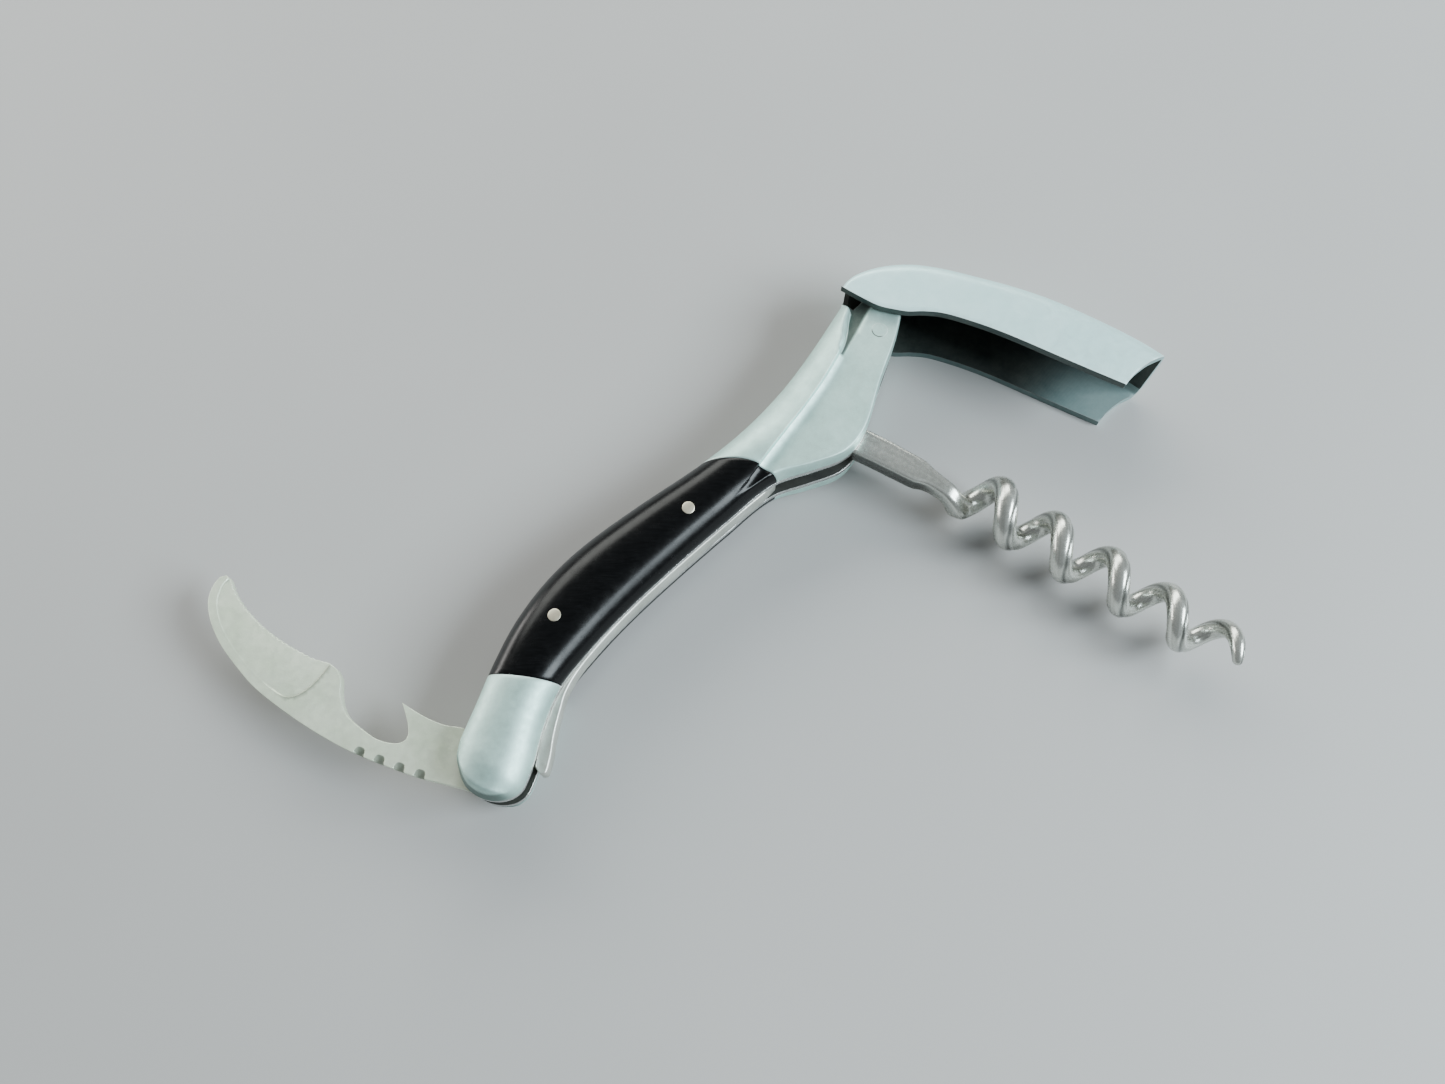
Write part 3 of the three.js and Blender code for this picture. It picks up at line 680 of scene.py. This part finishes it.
def crown(x, y):
    """Height of the dome."""
    belly, back = handle_edges(x)
    half = np.maximum((back - belly) / 2, 1e-6)
    t = np.clip(np.abs(y - (belly + back) / 2) / half, 0, 1)
    # round the knife end the dome ends at a crease, with a steep band below it
    band = step(CAP_BAND_END, CAP_BAND_START, x)
    foot = DOME_FOOT + CAP_BAND * band**1.6
    dome = foot + (HALF - foot) * end_rounding(x) * (1 - t**DOME_POWER) ** DOME_ROOT
    steep = DOME_FOOT + CAP_BAND * 1.15 * (1 - band) + CAP_BAND_SLOPE * from_cap_edge(x, y)
    return np.where(band > 0, soft_min(dome, steep, 0.6), dome)


def cove_start(x):
    """Where the plate begins to rise towards the ridge, and further on the edge of the hollow."""
    foot = ridge_line(x) - 1.5 + 0.7 * step(80, POCKET_START, x)
    return np.where(x < POCKET_START, foot, np.minimum(pocket_line(x), ridge_line(x) - 0.1))


def outside_ridge(x, y):
    """Distance from the raised part, negative inside it; its end is square with a round corner."""
    a = RIDGE_SLANT * (ridge_line(x) - y) + RIDGE_CORNER
    b = x - RIDGE_END + RIDGE_CORNER
    corner = np.hypot(np.maximum(a, 0), np.maximum(b, 0))
    return corner + np.minimum(np.maximum(a, b), 0) - RIDGE_CORNER


def hollow(x, y):
    """Depth of the flat slanting hollow between the plate and the ridge's tip."""
    beside = (y - pocket_line(x)) * step(POCKET_START, POCKET_START + 0.3, x)
    reach = np.minimum(beside, POCKET_STOP - x)
    return POCKET_RIM * step(0, 0.12, reach) + POCKET_SLOPE * np.clip(reach, 0, POCKET_REACH)


def plate_level(x, y):
    """The plate beside the raised ridge, with a cove at its foot, a hollow by the tip and the wall."""
    outside = outside_ridge(x, y)
    cove = COVE_HEIGHT * np.clip(1 - outside / COVE_WIDTH, 0, 1) ** 2.2 * step(96, 90, x)
    wall = WALL_SLOPE * np.sqrt(np.clip(-outside / wall_run(x), 0, 9))
    return np.where(x < RIDGE_START, 99.0, RECESS + cove - hollow(x, y) + wall)


def surface(x, y):
    """Height of a side: the dome, or the plate and the ridge's wall where they are lower."""
    level_here = plate_level(x, y)
    domed = soft_min(crown(x, y), level_here, 0.08 + 0.5 * step(84, 95, x))
    # the bare plate has a tighter rim than the dome
    belly, back = handle_edges(x)
    rim = np.where(x > TIP_X, np.minimum(y - belly, back - y), y - belly) / shoulder(x)
    round_rim = (1 - (1 - np.clip(rim, 0, 1)) ** DOME_POWER) ** DOME_ROOT
    plate = DOME_FOOT + (level_here - DOME_FOOT) * round_rim
    flat = step(61, 69, x) * step(-0.12, 0.12, outside_ridge(x, y))
    return np.maximum(domed * (1 - flat) + plate * flat, DOME_FOOT)


def shoulder(x):
    """Width of the rounded rim."""
    return 1.6 - 1.15 * step(61, 72, x)


def wall_run(x):
    """How far the ridge's wall leans back over its height."""
    return 0.3 + 0.75 * step(74, 91, x)


def wall_top(x):
    """y where the ridge's wall meets the dome."""
    ridge = ridge_line(x)
    y = ridge + 0.3
    for _ in range(6):
        rise = np.clip(crown(x, y) - RECESS, 0, 2)
        y = ridge + np.maximum(wall_run(x) / RIDGE_SLANT * (rise / WALL_SLOPE) ** 2, 0.03)
    return y


CUTS = (0.1, 0.34, 0.5, 0.6)
COLUMNS = np.concatenate([
    CUTS[0] * np.linspace(0, 1, 9) ** 1.6,
    CUTS[0] + (CUTS[1] - CUTS[0]) * np.linspace(0, 1, 11)[1:],
    CUTS[1] + (CUTS[2] - CUTS[1]) * np.linspace(0, 1, 11)[1:],
    CUTS[2] + (CUTS[3] - CUTS[2]) * np.linspace(0, 1, 6)[1:],
    CUTS[3] + (1 - CUTS[3]) * both_ends(25)[1:],
])


def across(x, v):
    """y of a lengthwise grid line; the lines follow the rim, the cove, the ridge and its wall."""
    belly, back = handle_edges(x)
    width = back - belly
    before = x < RIDGE_COLUMNS
    ridge = np.where(before, belly, ridge_line(x))
    ridge = np.clip(ridge, belly + 0.2 * width, back - np.where(x > TIP_X, 0.06, 0.2) * width)
    rim = belly + np.minimum(shoulder(x), 0.35 * (ridge - belly))
    cove = np.where(before, belly, cove_start(x))
    cove = np.clip(cove, rim + 0.3 * (ridge - rim), ridge - 0.12 * (ridge - rim))
    top = np.where(before, belly, wall_top(x))
    top = np.clip(top, ridge + 0.01 * width, ridge + 0.5 * (back - ridge))
    marks = (belly, rim, cove, ridge, top, back)
    limits = (0.0,) + CUTS + (1.0,)
    y = back * 1.0
    for k in (4, 3, 2, 1, 0):
        share = (v - limits[k]) / (limits[k + 1] - limits[k])
        y = np.where(v <= limits[k + 1], marks[k] + (marks[k + 1] - marks[k]) * share, y)
    return y


def seam_x(points):
    """x of a seam, given as points (y, x), where each lengthwise grid line crosses it."""
    ys, xs = np.array(points, float).T
    line = through(points)
    slope_low = (xs[1] - xs[0]) / (ys[1] - ys[0])
    slope_high = (xs[-1] - xs[-2]) / (ys[-1] - ys[-2])
    x = np.full(len(COLUMNS), xs.mean())
    for _ in range(25):
        y = across(x, COLUMNS)
        new = line(np.clip(y, ys[0], ys[-1]))
        new = new + np.minimum(y - ys[0], 0) * slope_low + np.maximum(y - ys[-1], 0) * slope_high
        x = 0.5 * x + 0.5 * new
    return x


def seam_groove(away):
    """Depth of the fine groove at a seam, from the distance to the seam."""
    return SEAM_DEPTH * np.clip(1 - away / SEAM_WIDTH, 0, 1)


def side_solid(xs, ys, zs):
    """A side piece from its surface, with a fine groove where it sits on its liner."""
    foot_y = ys + FOOT_INSET * np.where(COLUMNS == 0, 1, np.where(COLUMNS == 1, -1, 0))
    top = np.stack([xs, ys, zs], -1)
    knee = np.stack([xs, ys, np.full_like(zs, LINER_FACE + 0.1)], -1)
    bottom = np.stack([xs, foot_y, np.full_like(zs, LINER_FACE + 0.01)], -1)
    # the rim needs its own row, so the grid gets a column more at either side
    top = np.concatenate([knee[:, :1], top, knee[:, -1:]], axis=1)
    bottom = np.concatenate([bottom[:, :1], bottom, bottom[:, -1:]], axis=1)
    return grid_solid(top, bottom)


def side_points(start, stop, shares, groove_start, groove_stop):
    """A side piece between two lines across the handle, with a seam's groove at either."""
    xs = start + (stop - start) * shares[:, None]
    ys = across(xs, COLUMNS)
    zs = surface(xs, ys)
    zs = zs - groove_start * seam_groove(xs - start)
    zs = zs - groove_stop * seam_groove(stop - xs)
    return side_solid(xs, ys, zs)


def near_ends(count, length, at_start, at_stop):
    """Even shares along a length, with extra stations beside a seam."""
    inner = np.linspace(0, 1, count)
    extra = []
    if at_start:
        extra += [SEAM_WIDTH / 2 / length, SEAM_WIDTH / length]
    if at_stop:
        extra += [1 - SEAM_WIDTH / length, 1 - SEAM_WIDTH / 2 / length]
    return np.unique(np.concatenate([inner, extra]))


knife_seam = seam_x(KNIFE_SEAM)
lever_seam = seam_x(LEVER_SEAM)
first_x = np.full(len(COLUMNS), HANDLE_START)

bolster_shares = 1 - np.cos(np.linspace(0, math.pi / 2, 44))
bolster_shares = np.unique(np.concatenate([bolster_shares, [0.994, 0.997]]))
knife_bolster = side_points(first_x, knife_seam - SEAM_GAP, bolster_shares, 0, 1)
cap_x, cap_y = knife_bolster[0][:, 0], knife_bolster[0][:, 1]
# painted shade on the steep band round the knife end, below the crease
cap_band_shade = 0.7 * step(CAP_BAND_END, -2.5, cap_x) * step(0.75, 0.5, from_cap_edge(cap_x, cap_y))
scale_shares = near_ends(64, 46, True, True)
scale = side_points(knife_seam + SEAM_GAP, lever_seam - SEAM_GAP, scale_shares, 1, 1)


def lever_bolster_points():
    """The lever end's side, from its seam past the ridge's tip to the end of the plate."""
    start = lever_seam + SEAM_GAP
    tip = TIP_X - 0.01
    end = HANDLE_END - 0.002
    to_tip = np.concatenate([near_ends(112, 35, True, False), np.linspace(0.955, 1, 14)])
    before = start + (tip - start) * np.unique(to_tip)[:, None]
    after = TIP_X + 0.01 + (end - TIP_X - 0.01) * np.sin(np.linspace(0, math.pi / 2, 34))
    xs = np.concatenate([before, np.repeat(after[:, None], len(COLUMNS), axis=1)])
    ys = across(xs, COLUMNS)
    zs = surface(xs, ys) - seam_groove(xs - start)
    points, faces = side_solid(xs, ys, zs)
    x, y = points[:len(points) // 2, :2].T
    # painted shade in the hollow beside the ridge's tip
    shaded = 0.9 * step(0.05, 0.3, hollow(x, y)) * step(0.0, 0.2, outside_ridge(x, y))
    return points, faces, np.concatenate([shaded, np.zeros(len(shaded))])


lever_bolster = lever_bolster_points()


def liner_outline():
    cap = HANDLE_START + CAP_RADIUS * (1 - np.cos(np.linspace(0.02, math.pi / 2, 18)))
    middle = np.linspace(cap[-1], TIP_X - 0.02, 110)[1:]
    end = TIP_X + 0.02 + (HANDLE_END - 0.01 - TIP_X) * np.sin(np.linspace(0, math.pi / 2, 18))
    end = np.minimum(end, HANDLE_END - 0.01)
    xs = np.unique(np.concatenate([cap, middle, end]))
    belly, back = handle_edges(xs)
    return np.concatenate([np.stack([xs, belly], 1), np.stack([xs, back], 1)[::-1]])


liner = slab(liner_outline(), level(LINER_FACE), level(SLOT_HALF), 0.09)
# painted shade: the liner's face inside the slot is turned near black
liner_slot_shade = 0.9 * (liner[0][:, 2] < SLOT_HALF + 0.01)


def disc(at, radius, low, high, rounding=0.12, sides=48, tilt=(0.0, 0.0)):
    """A pin from one level up to a surface, with a rounded rim; tilt leans its top face."""
    rings = [(radius, None), (radius, rounding), (radius - 0.3 * rounding, 0.3 * rounding)]
    rings += [(radius - rounding, 0), (radius - rounding - 0.1, 0), (radius - rounding - 0.2, 0)]
    rings += [(radius * 0.6, -0.01), (radius * 0.25, -0.015)]
    points = []
    for r, fall in rings:
        ring = arc(at, r, 0, 360 * (1 - 1 / sides), sides - 1)
        if fall is None:
            z = np.full(sides, float(low))
        else:
            z = high(ring[:, 0], ring[:, 1]) - fall
            z = z + tilt[0] * (ring[:, 0] - at[0]) + tilt[1] * (ring[:, 1] - at[1])
        points.append(np.column_stack([ring, z]))
    faces = ring_faces(len(rings), sides)
    faces.append(tuple(range(sides - 1, -1, -1)))
    top = (len(rings) - 1) * sides
    faces.append(tuple(range(top, top + sides)))
    return np.concatenate(points), faces


def two_ended(pin):
    """A pin mirrored to the lower side, without the two faces at its middle."""
    points = np.concatenate([pin[0], mirrored(pin[0])])
    faces = pin[1] + [tuple(i + len(pin[0]) for i in f) for f in pin[1]]
    return points, [f for f in faces if not (len(f) > 4 and abs(points[f[0], 2]) < 0.01)]


for side, flip in (("upper", False), ("lower", True)):
    turn = mirrored if flip else (lambda p: p)
    for part, made, slot, extra in (
        ("knife_bolster", knife_bolster, "satin_steel", {"dark": cap_band_shade}),
        ("handle_scale", scale, "black_scale", {}),
        ("lever_bolster", lever_bolster, "satin_steel", {"dark": lever_bolster[2]}),
        ("liner", liner, "polished_steel", {"normals": turn(liner[2]), "dark": liner_slot_shade}),
    ):
        node = f"{side}_{part}"
        piece(node + "_fine", turn(made[0]), made[1], "handle", slot, [node], sharp=42, **extra)
    for place, at in SCALE_RIVETS.items():
        node = f"{side}_{place}_scale_rivet"
        made = disc(at, SCALE_RIVET_RADIUS, SLOT_HALF, lambda x, y: surface(x, y) + 0.05)
        piece(node + "_fine", turn(made[0]), made[1], "handle", "rivet_metal", [node])

# ---- peened spacer pin
upper_pin = disc(SPACER_PIN, SPACER_PIN_RADIUS, 0, level(RECESS + 0.02), 0.09, tilt=(0.012, 0.0))
points, faces = two_ended(upper_pin)
# painted shade of a groove round a third of the peened head
spoke = points[:, :2] - SPACER_PIN
spread = np.hypot(spoke[:, 0], spoke[:, 1])
groove = step(0.35, 0.8, -spoke[:, 0] / np.maximum(spread, 0.01)) * (spread > 1.2)
piece("end_spacer_pin_fine", points, faces, "handle", "satin_steel", ["end_spacer_pin"], dark=groove)

# ---- back spring
rear = arc(SPRING_REAR, SPRING_REAR_RADIUS, -70, 60, 12)
spring_outline = np.concatenate([smooth(SPRING_OUTER, 8), rear, smooth(SPRING_INNER, 8)])
points, faces, normals = slab(spring_outline, level(SPRING_HALF), level(-SPRING_HALF), 0.28)
piece("back_spring_fine", points, faces, "handle", "spring_steel", ["back_spring"], normals=normals)


# ---- knife
def serrated(points):
    """The cutting edge with its fine teeth, which fade out at both ends."""
    line = resample(smooth(points, 12), 190)
    ahead, length = unit(np.gradient(line, axis=0)), lengths(line)
    phase = (length / TOOTH_PITCH) % 1
    fade = step(0.5, 2, length) * step(length[-1] - 0.6, length[-1] - 3.5, length)
    bite = TOOTH_DEPTH * (1 - (2 * phase - 1) ** 2) * fade
    return line + bite[:, None] * np.stack([ahead[:, 1], -ahead[:, 0]], 1)


def knife_outline():
    back = resample(smooth(KNIFE_BACK, 12), 200)
    tang = arc((0, 0), TANG_RADIUS, 315, 95, 40)
    parts = [back, serrated(KNIFE_EDGE), smooth(CAP_NOTCH, 8), smooth(KNIFE_ROOT, 5), tang]
    return np.concatenate(parts)[::-1]


knife_loop = knife_outline()
edge_curve = resample(smooth(KNIFE_EDGE, 12), 120)
back_curve = resample(smooth(KNIFE_BACK, 12), 160)
grind_curve = resample(smooth(GRIND, 10), 130)
ground_area = np.concatenate([grind_curve, [(54, 0), (32, 0)]])


def nearest(p, curve):
    """Distance from each point to the curve."""
    return np.sqrt(np.min(np.sum((p[:, None, :] - curve[None]) ** 2, axis=2), axis=1))


def blade_half(p):
    """Half of the blade's thickness: full at the back and the root, ground inside the grind line."""
    to_edge, to_line = nearest(p, edge_curve), nearest(p, grind_curve)
    deep = np.where(inside(ground_area, p), to_line, 0)
    ground = (0.09 - 0.078 * step(33, 39, p[:, 0])) * step(0, GRIND_STEP, deep)
    fall = GRIND_FALL * np.clip(1 - to_edge / GRIND_WIDTH, 0, 1) ** 2 * (deep > 0)
    return BLADE_HALF - ground - fall


def thumb_frames():
    """Where each nick is, and its directions along the back and into the blade."""
    for c in THUMB_NOTCHES:
        i = np.argmin(np.sum((back_curve - c) ** 2, axis=1))
        along = back_curve[i + 1] - back_curve[i - 1]
        along /= np.linalg.norm(along)
        yield back_curve[i], along, np.array([along[1], -along[0]])


def blade_top(p):
    """The upper face, with four half-round nicks sloping down to the back."""
    z = blade_half(p)
    for origin, along, inward in thumb_frames():
        side, depth = (p - origin) @ along, (p - origin) @ inward
        share = np.clip(1 - np.abs(side / NOTCH_HALF) ** NOTCH_POWER, 0, 1)
        reach = NOTCH_DEPTH * share ** (1 / NOTCH_POWER)
        nick = np.minimum(z, BLADE_HALF - 1.15 * (reach - depth))
        z = np.where((np.abs(side) < NOTCH_HALF) & (depth < reach), nick, z)
    return np.maximum(z, -0.85)


def thumb_lines():
    """Three lines round each nick for the mesh to follow."""
    for origin, along, inward in thumb_frames():
        for size in (0.88, 1.0, 1.08):
            a = np.linspace(0.14, math.pi - 0.14, 22)[:, None]
            c, q = np.cos(a), np.sin(a)
            c, q = np.sign(c) * np.abs(c) ** (2 / NOTCH_POWER), q ** (2 / NOTCH_POWER)
            yield origin + size * (NOTCH_HALF * c * along + NOTCH_DEPTH * q * inward)


def blade_darkness(p):
    """Painted shade on the upper face, in the nicks and on the grind's step; beside the bolster the
    darkening is partly stains and partly painted shade.
    """
    shade = np.zeros(len(p))
    for origin, along, inward in thumb_frames():
        side, depth = (p - origin) @ along, (p - origin) @ inward
        far = np.abs(side / NOTCH_HALF) ** NOTCH_POWER
        far = far + np.abs(np.maximum(depth, 0) / NOTCH_DEPTH) ** NOTCH_POWER
        shade = np.maximum(shade, step(1.15, 0.95, far))
    # beside the bolster: partly stains, partly painted shade at the bolster's shadow edge
    bolster_stain_and_shade = 0.3 * step(7.2, 5.2, np.hypot(p[:, 0], p[:, 1]))
    grind_step = 0.6 * step(0.3, 0.1, nearest(p, grind_curve)) * step(36, 32.5, p[:, 0])
    return np.maximum(np.maximum(0.55 * shade, bolster_stain_and_shade), grind_step)


def grind_lines():
    """The grind line and lines close to it on either side, clear of the blade's rim."""
    for shift in (-0.1, 0.0, GRIND_STEP, 0.26):
        line = offset(grind_curve, -shift)[1:-1]
        keep = inside(knife_loop, line) & (nearest(line, edge_curve) > 0.5)
        yield line[keep]


lines = list(thumb_lines()) + list(grind_lines())
points, faces, normals = slab(knife_loop, blade_top, lambda p: -blade_half(p), 0.08, 0.5, lines)
half_count = len(points) // 2
# painted shade and stains on the blade's upper face
blade_shade_and_stain = np.concatenate([blade_darkness(points[:half_count, :2]), np.zeros(half_count)])
piece("knife_blade_fine", turned(points, KNIFE_PIVOT, KNIFE_OPEN), faces, "knife", "blade_steel",
      ["knife_blade"], normals=turned(normals, (0, 0), KNIFE_OPEN), dark=blade_shade_and_stain)


# ---- worm
def swept(path, half_width, half_height, power, sides=60):
    """A tube of rounded-rectangle sections: its points, faces, lengthwise coordinates and painted shade.

    Along the helix the wire has two creases, which keep their place relative to the worm's axis."""
    ahead, length = unit(np.gradient(path, axis=0)), lengths(path)
    normal = np.array([0.0, 0.0, 1.0])
    a = np.linspace(0, 2 * math.pi, sides, endpoint=False)
    c, s = np.cos(a), np.sin(a)
    points, uv, dark = [], [], []
    for i, p in enumerate(path):
        normal = normal - normal.dot(ahead[i]) * ahead[i]
        normal /= np.linalg.norm(normal)
        other = np.cross(ahead[i], normal)
        e = 2 / power[i]
        outward = p - np.array([p[0], HELIX_Y, 0.0])
        turn = math.atan2(outward.dot(normal), outward.dot(other))
        creased = float(step(-25, -29, p[0]))
        crease = np.zeros(sides)
        for at, wide in CREASES:
            away = (a - turn - at + math.pi) % (2 * math.pi) - math.pi
            crease += np.exp(-((away / wide) ** 2))
        size = 1 - CREASE_DEPTH * creased * crease
        u = size * half_width[i] * np.sign(c) * np.abs(c) ** e
        v = size * half_height[i] * np.sign(s) * np.abs(s) ** e
        points.append(p + u[:, None] * other + v[:, None] * normal)
        uv.append(np.column_stack([np.full(sides, length[i]), 0.5 + 0.5 * np.sin(a + 0.4)]))
        # painted shade on the shank's flat sides and in the helix's creases
        flank = np.clip((np.abs(u) / half_width[i] - 0.97) / 0.03, 0, 1)
        flank = flank * float(step(-22, -17, p[0]))
        dark.append(0.85 * flank + 0.75 * creased * crease)
    faces = ring_faces(len(path), sides)
    faces.append(tuple(range(sides)))
    last = (len(path) - 1) * sides
    faces.append(tuple(range(last + sides - 1, last - 1, -1)))
    return np.concatenate(points), faces, np.concatenate(uv), np.concatenate(dark)


def between(pair, share):
    return pair[0] + (pair[1] - pair[0]) * share


def worm():
    """The shank, the helix with its wire growing thinner, and the rounded tip."""
    rows = list(SHANK)
    for angle in np.arange(HELIX_FIRST + 0.15, HELIX_LAST + 0.01, math.pi / 14):
        share = min(max(angle / HELIX_LAST, 0), 1)
        radius, wire = between(HELIX_RADII, share), between(WIRE_RADII, share)
        x = HELIX_START - HELIX_PITCH * angle / (2 * math.pi)
        left = min(max((HELIX_LAST - angle) / 2.6, 0), 1)
        wire = WIRE_TIP + (wire - WIRE_TIP) * math.sqrt(left)
        square = 2 + 1.0 * min(max((0.3 - angle) / 2.5, 0), 1)
        y, z = HELIX_Y - radius * math.cos(angle), radius * math.sin(angle)
        rows.append((x, y, z, wire, wire, square))
    line = smooth(rows, 3)
    last = line[-1].copy()
    direction = line[-1][:3] - line[-4][:3]
    direction /= np.linalg.norm(direction)
    for t in (0.35, 0.6, 0.75):
        tip = last.copy()
        tip[:3] += direction * t
        tip[3:5] *= math.sqrt(max(1 - (t / 0.8) ** 2, 0.02))
        line = np.concatenate([line, tip[None]])
    return swept(line[:, :3], line[:, 3], line[:, 4], line[:, 5])


points, faces, uv, dark = worm()
piece("worm_fine", turned(points, WORM_PIVOT, WORM_OPEN), faces, "worm", "polished_steel",
      ["worm"], sharp=50, uv=uv, look="worm_steel", dark=np.clip(dark, 0, 1))


# ---- lever
def lever_section(half, high, wide, inset, width, taper):
    """Across the channel: (depth from the open edge, z) along a cheek, the spine and the other cheek."""
    reach = max(width - inset, 0.0)
    wide = min(wide * taper, reach * 0.9)
    corner = np.linspace(0, math.pi / 2, 12)
    depth = [np.linspace(0, 1, 9)[:-1] * (reach - wide), reach - wide + wide * np.sin(corner)]
    z = [np.full(8, half), half - high + high * np.cos(corner)]
    upper = np.column_stack([np.concatenate(depth), np.concatenate(z)])
    wall = np.linspace(half - high, -(half - high), 7)[1:-1]
    middle = np.column_stack([np.full(5, reach), wall])
    return np.concatenate([upper, middle, upper[::-1] * [1, -1]])


def lever():
    """The channel: sections from the foot to the nose between the open edge and the spine."""
    stations = 110
    spine, edge = smooth(SPINE, 14), smooth(OPEN_EDGE, 14)
    spine, edge = spine[spine[:, 0] > 54.5], edge[edge[:, 0] > 58.95]
    ease = lambda s: 1 - (1 - s) ** 1.15
    spine, edge = resample(spine, stations, ease), resample(edge, stations, ease)
    outer, inner = [], []
    for i in range(stations):
        start, toward = edge[i], spine[i] - edge[i]
        width = max(np.linalg.norm(toward), 1e-3)
        toward = toward / width
        taper = min(1, 0.3 + (stations - 1 - i) / 40)
        for grid, sizes in ((outer, (HALF, 5.0, 3.6, 0.0)), (inner, (CHEEK_INNER, 2.0, 1.2, WEB))):
            section = lever_section(*sizes, width, taper)
            grid.append(np.column_stack([start + section[:, :1] * toward, section[:, 1]]))
    outer, inner = np.array(outer), np.array(inner)
    # the foot is cut to a hollow curve
    for grid in (outer, inner):
        base = grid[0, :, :2]
        shift = foot_line(base[:, 1]) - base[:, 0]
        fade = np.clip(1 - np.arange(stations) / 20, 0, 1) ** 2
        grid[:, :, 0] += fade[:, None] * shift[None, :]
    count = outer.shape[1]
    points = np.concatenate([outer.reshape(-1, 3), inner.reshape(-1, 3)])
    low = stations * count
    faces = ring_faces(stations, count, closed=False)
    # painted shade: inner faces near black, lighter on the lower cheek near the foot where light would
    # fall; the open edges and the end faces painted partly dark
    fading = np.repeat(step(0, 34, np.arange(stations - 1)), count - 1)
    lower_cheek = np.tile(np.arange(count - 1) > count * 0.6, stations - 1)
    dark = [0.0] * len(faces) + list(0.97 - 0.27 * (1 - fading) * lower_cheek)
    faces += [tuple(low + i for i in reversed(f)) for f in faces]
    for i in range(stations - 1):
        a = i * count
        faces.append((a, a + count, low + a + count, low + a))
        b = a + count - 1
        faces.append((b, low + b, low + b + count, b + count))
        dark += [0.92, 0.8]
    for j in range(count - 1):
        faces.append((j, low + j, low + j + 1, j + 1))
        a = (stations - 1) * count + j
        faces.append((a, a + 1, low + a + 1, low + a))
    dark += [0.5] * (len(faces) - len(dark))
    return points, faces, dark


def nose_cutter():
    """The space inside the nose, where the wall between the cheeks is cut back."""
    round_end = arc((0, 0), NOSE_HOLLOW, -78, -6.2, 24)
    outline = np.concatenate([[(-1, -5)], round_end, [(12, WEB_END), (12, 7), (-1, 7)]])
    count = len(outline)
    ends = (-CHEEK_INNER - 0.02, CHEEK_INNER + 0.02)
    points = np.concatenate([np.column_stack([outline, np.full(count, z)]) for z in ends])
    faces = ring_faces(2, count)
    faces += [tuple(range(count))[::-1], tuple(range(count, 2 * count))]
    mesh = bpy.data.meshes.new("nose_cutter")
    mesh.from_pydata(to_row(turned(points, LEVER_PIVOT, LEVER_OPEN)).tolist(), [], faces)
    # painted shade on the faces this cut leaves inside the nose
    add_dark(mesh, np.ones(len(faces)))
    return new_object("nose_cutter", mesh)


points, faces, dark = lever()
points[:, :2] -= LEVER_PIVOT
piece("boot_lever_fine", turned(points, LEVER_PIVOT, LEVER_OPEN), faces, "lever", "satin_steel",
      ["boot_lever"], look="lever_steel_lit", sharp=60, bevel=0.16, flat=True, dark=dark, cut=nose_cutter())

points, faces = two_ended(disc((0, 0), LEVER_PIN_RADIUS, 0, level(HALF - 0.004), 0.05))
piece("lever_hinge_pin_fine", turned(points, LEVER_PIVOT, LEVER_OPEN), faces, "lever", "satin_steel",
      ["lever_hinge_pin"], look="lever_steel_lit")

# ---- kept CAD nodes
KEPT = {
    "polished_steel": [
        "end_spacer", "knife_pivot_pin", "worm_pivot_pin", "front_spring_pin", "rear_spring_pin",
    ],
    "washer_brass": ["upper_knife_washer", "lower_knife_washer"],
}
for slot, nodes in KEPT.items():
    for node in nodes:
        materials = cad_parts[node].data.materials
        materials.clear()
        materials.append(LOOKS[slot])


# ---- stage, light and camera
def floor():
    bpy.ops.mesh.primitive_plane_add(size=3)
    obj = bpy.context.object
    obj.name = "floor"
    m, tree, shader, place = start_material("floor", 0.0, 0.65)
    clouds = noise(tree, 6, 3, place.outputs["Object"], 0.5)
    colour = ramp(tree, clouds, 0.3, 0.7, (0.4, 0.397, 0.39, 1), (0.44, 0.437, 0.43, 1))
    connect(tree, shader, Base_Color=colour)
    obj.data.materials.append(m)
    obj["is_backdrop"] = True


def area_light(name, place, size, power, colour):
    """A rectangular light that faces the middle of the object."""
    data = bpy.data.lights.new(name, "AREA")
    data.shape = "RECTANGLE"
    data.size, data.size_y = size
    data.energy = power
    data.color = colour
    obj = new_object(name, data)
    obj.location = place
    obj.rotation_euler = (Vector() - obj.location).to_track_quat("-Z", "Y").to_euler()


floor()
area_light("window", (0.6, -0.14, 0.46), (0.46, 0.34), 11.5, (0.82, 0.94, 1.0))
area_light("ceiling", (-0.2, 0.74, 0.46), (1.1, 0.4), 9.5, (0.98, 1.0, 0.95))
area_light("rim", (-0.62, 0.2, 0.1), (0.5, 0.16), 2.6, (1.0, 0.98, 0.95))

world = bpy.data.worlds.new("studio")
world.use_nodes = True
background = world.node_tree.nodes["Background"]
connect(world.node_tree, background, Color=(0.78, 0.82, 0.86, 1), Strength=0.3)
bpy.context.scene.world = world

camera = new_object("camera", bpy.data.cameras.new("camera"))
camera.data.sensor_width = 36
camera.data.lens = 26.16
camera.data.clip_start = 0.005
camera.location = (0.000405, -0.066921, 0.170)
camera.rotation_euler = (math.radians(21), 0, 0)
bpy.context.scene.camera = camera

[[[float(v) for v in corner] for corner in box] for box in (CAD_BOX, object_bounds())]
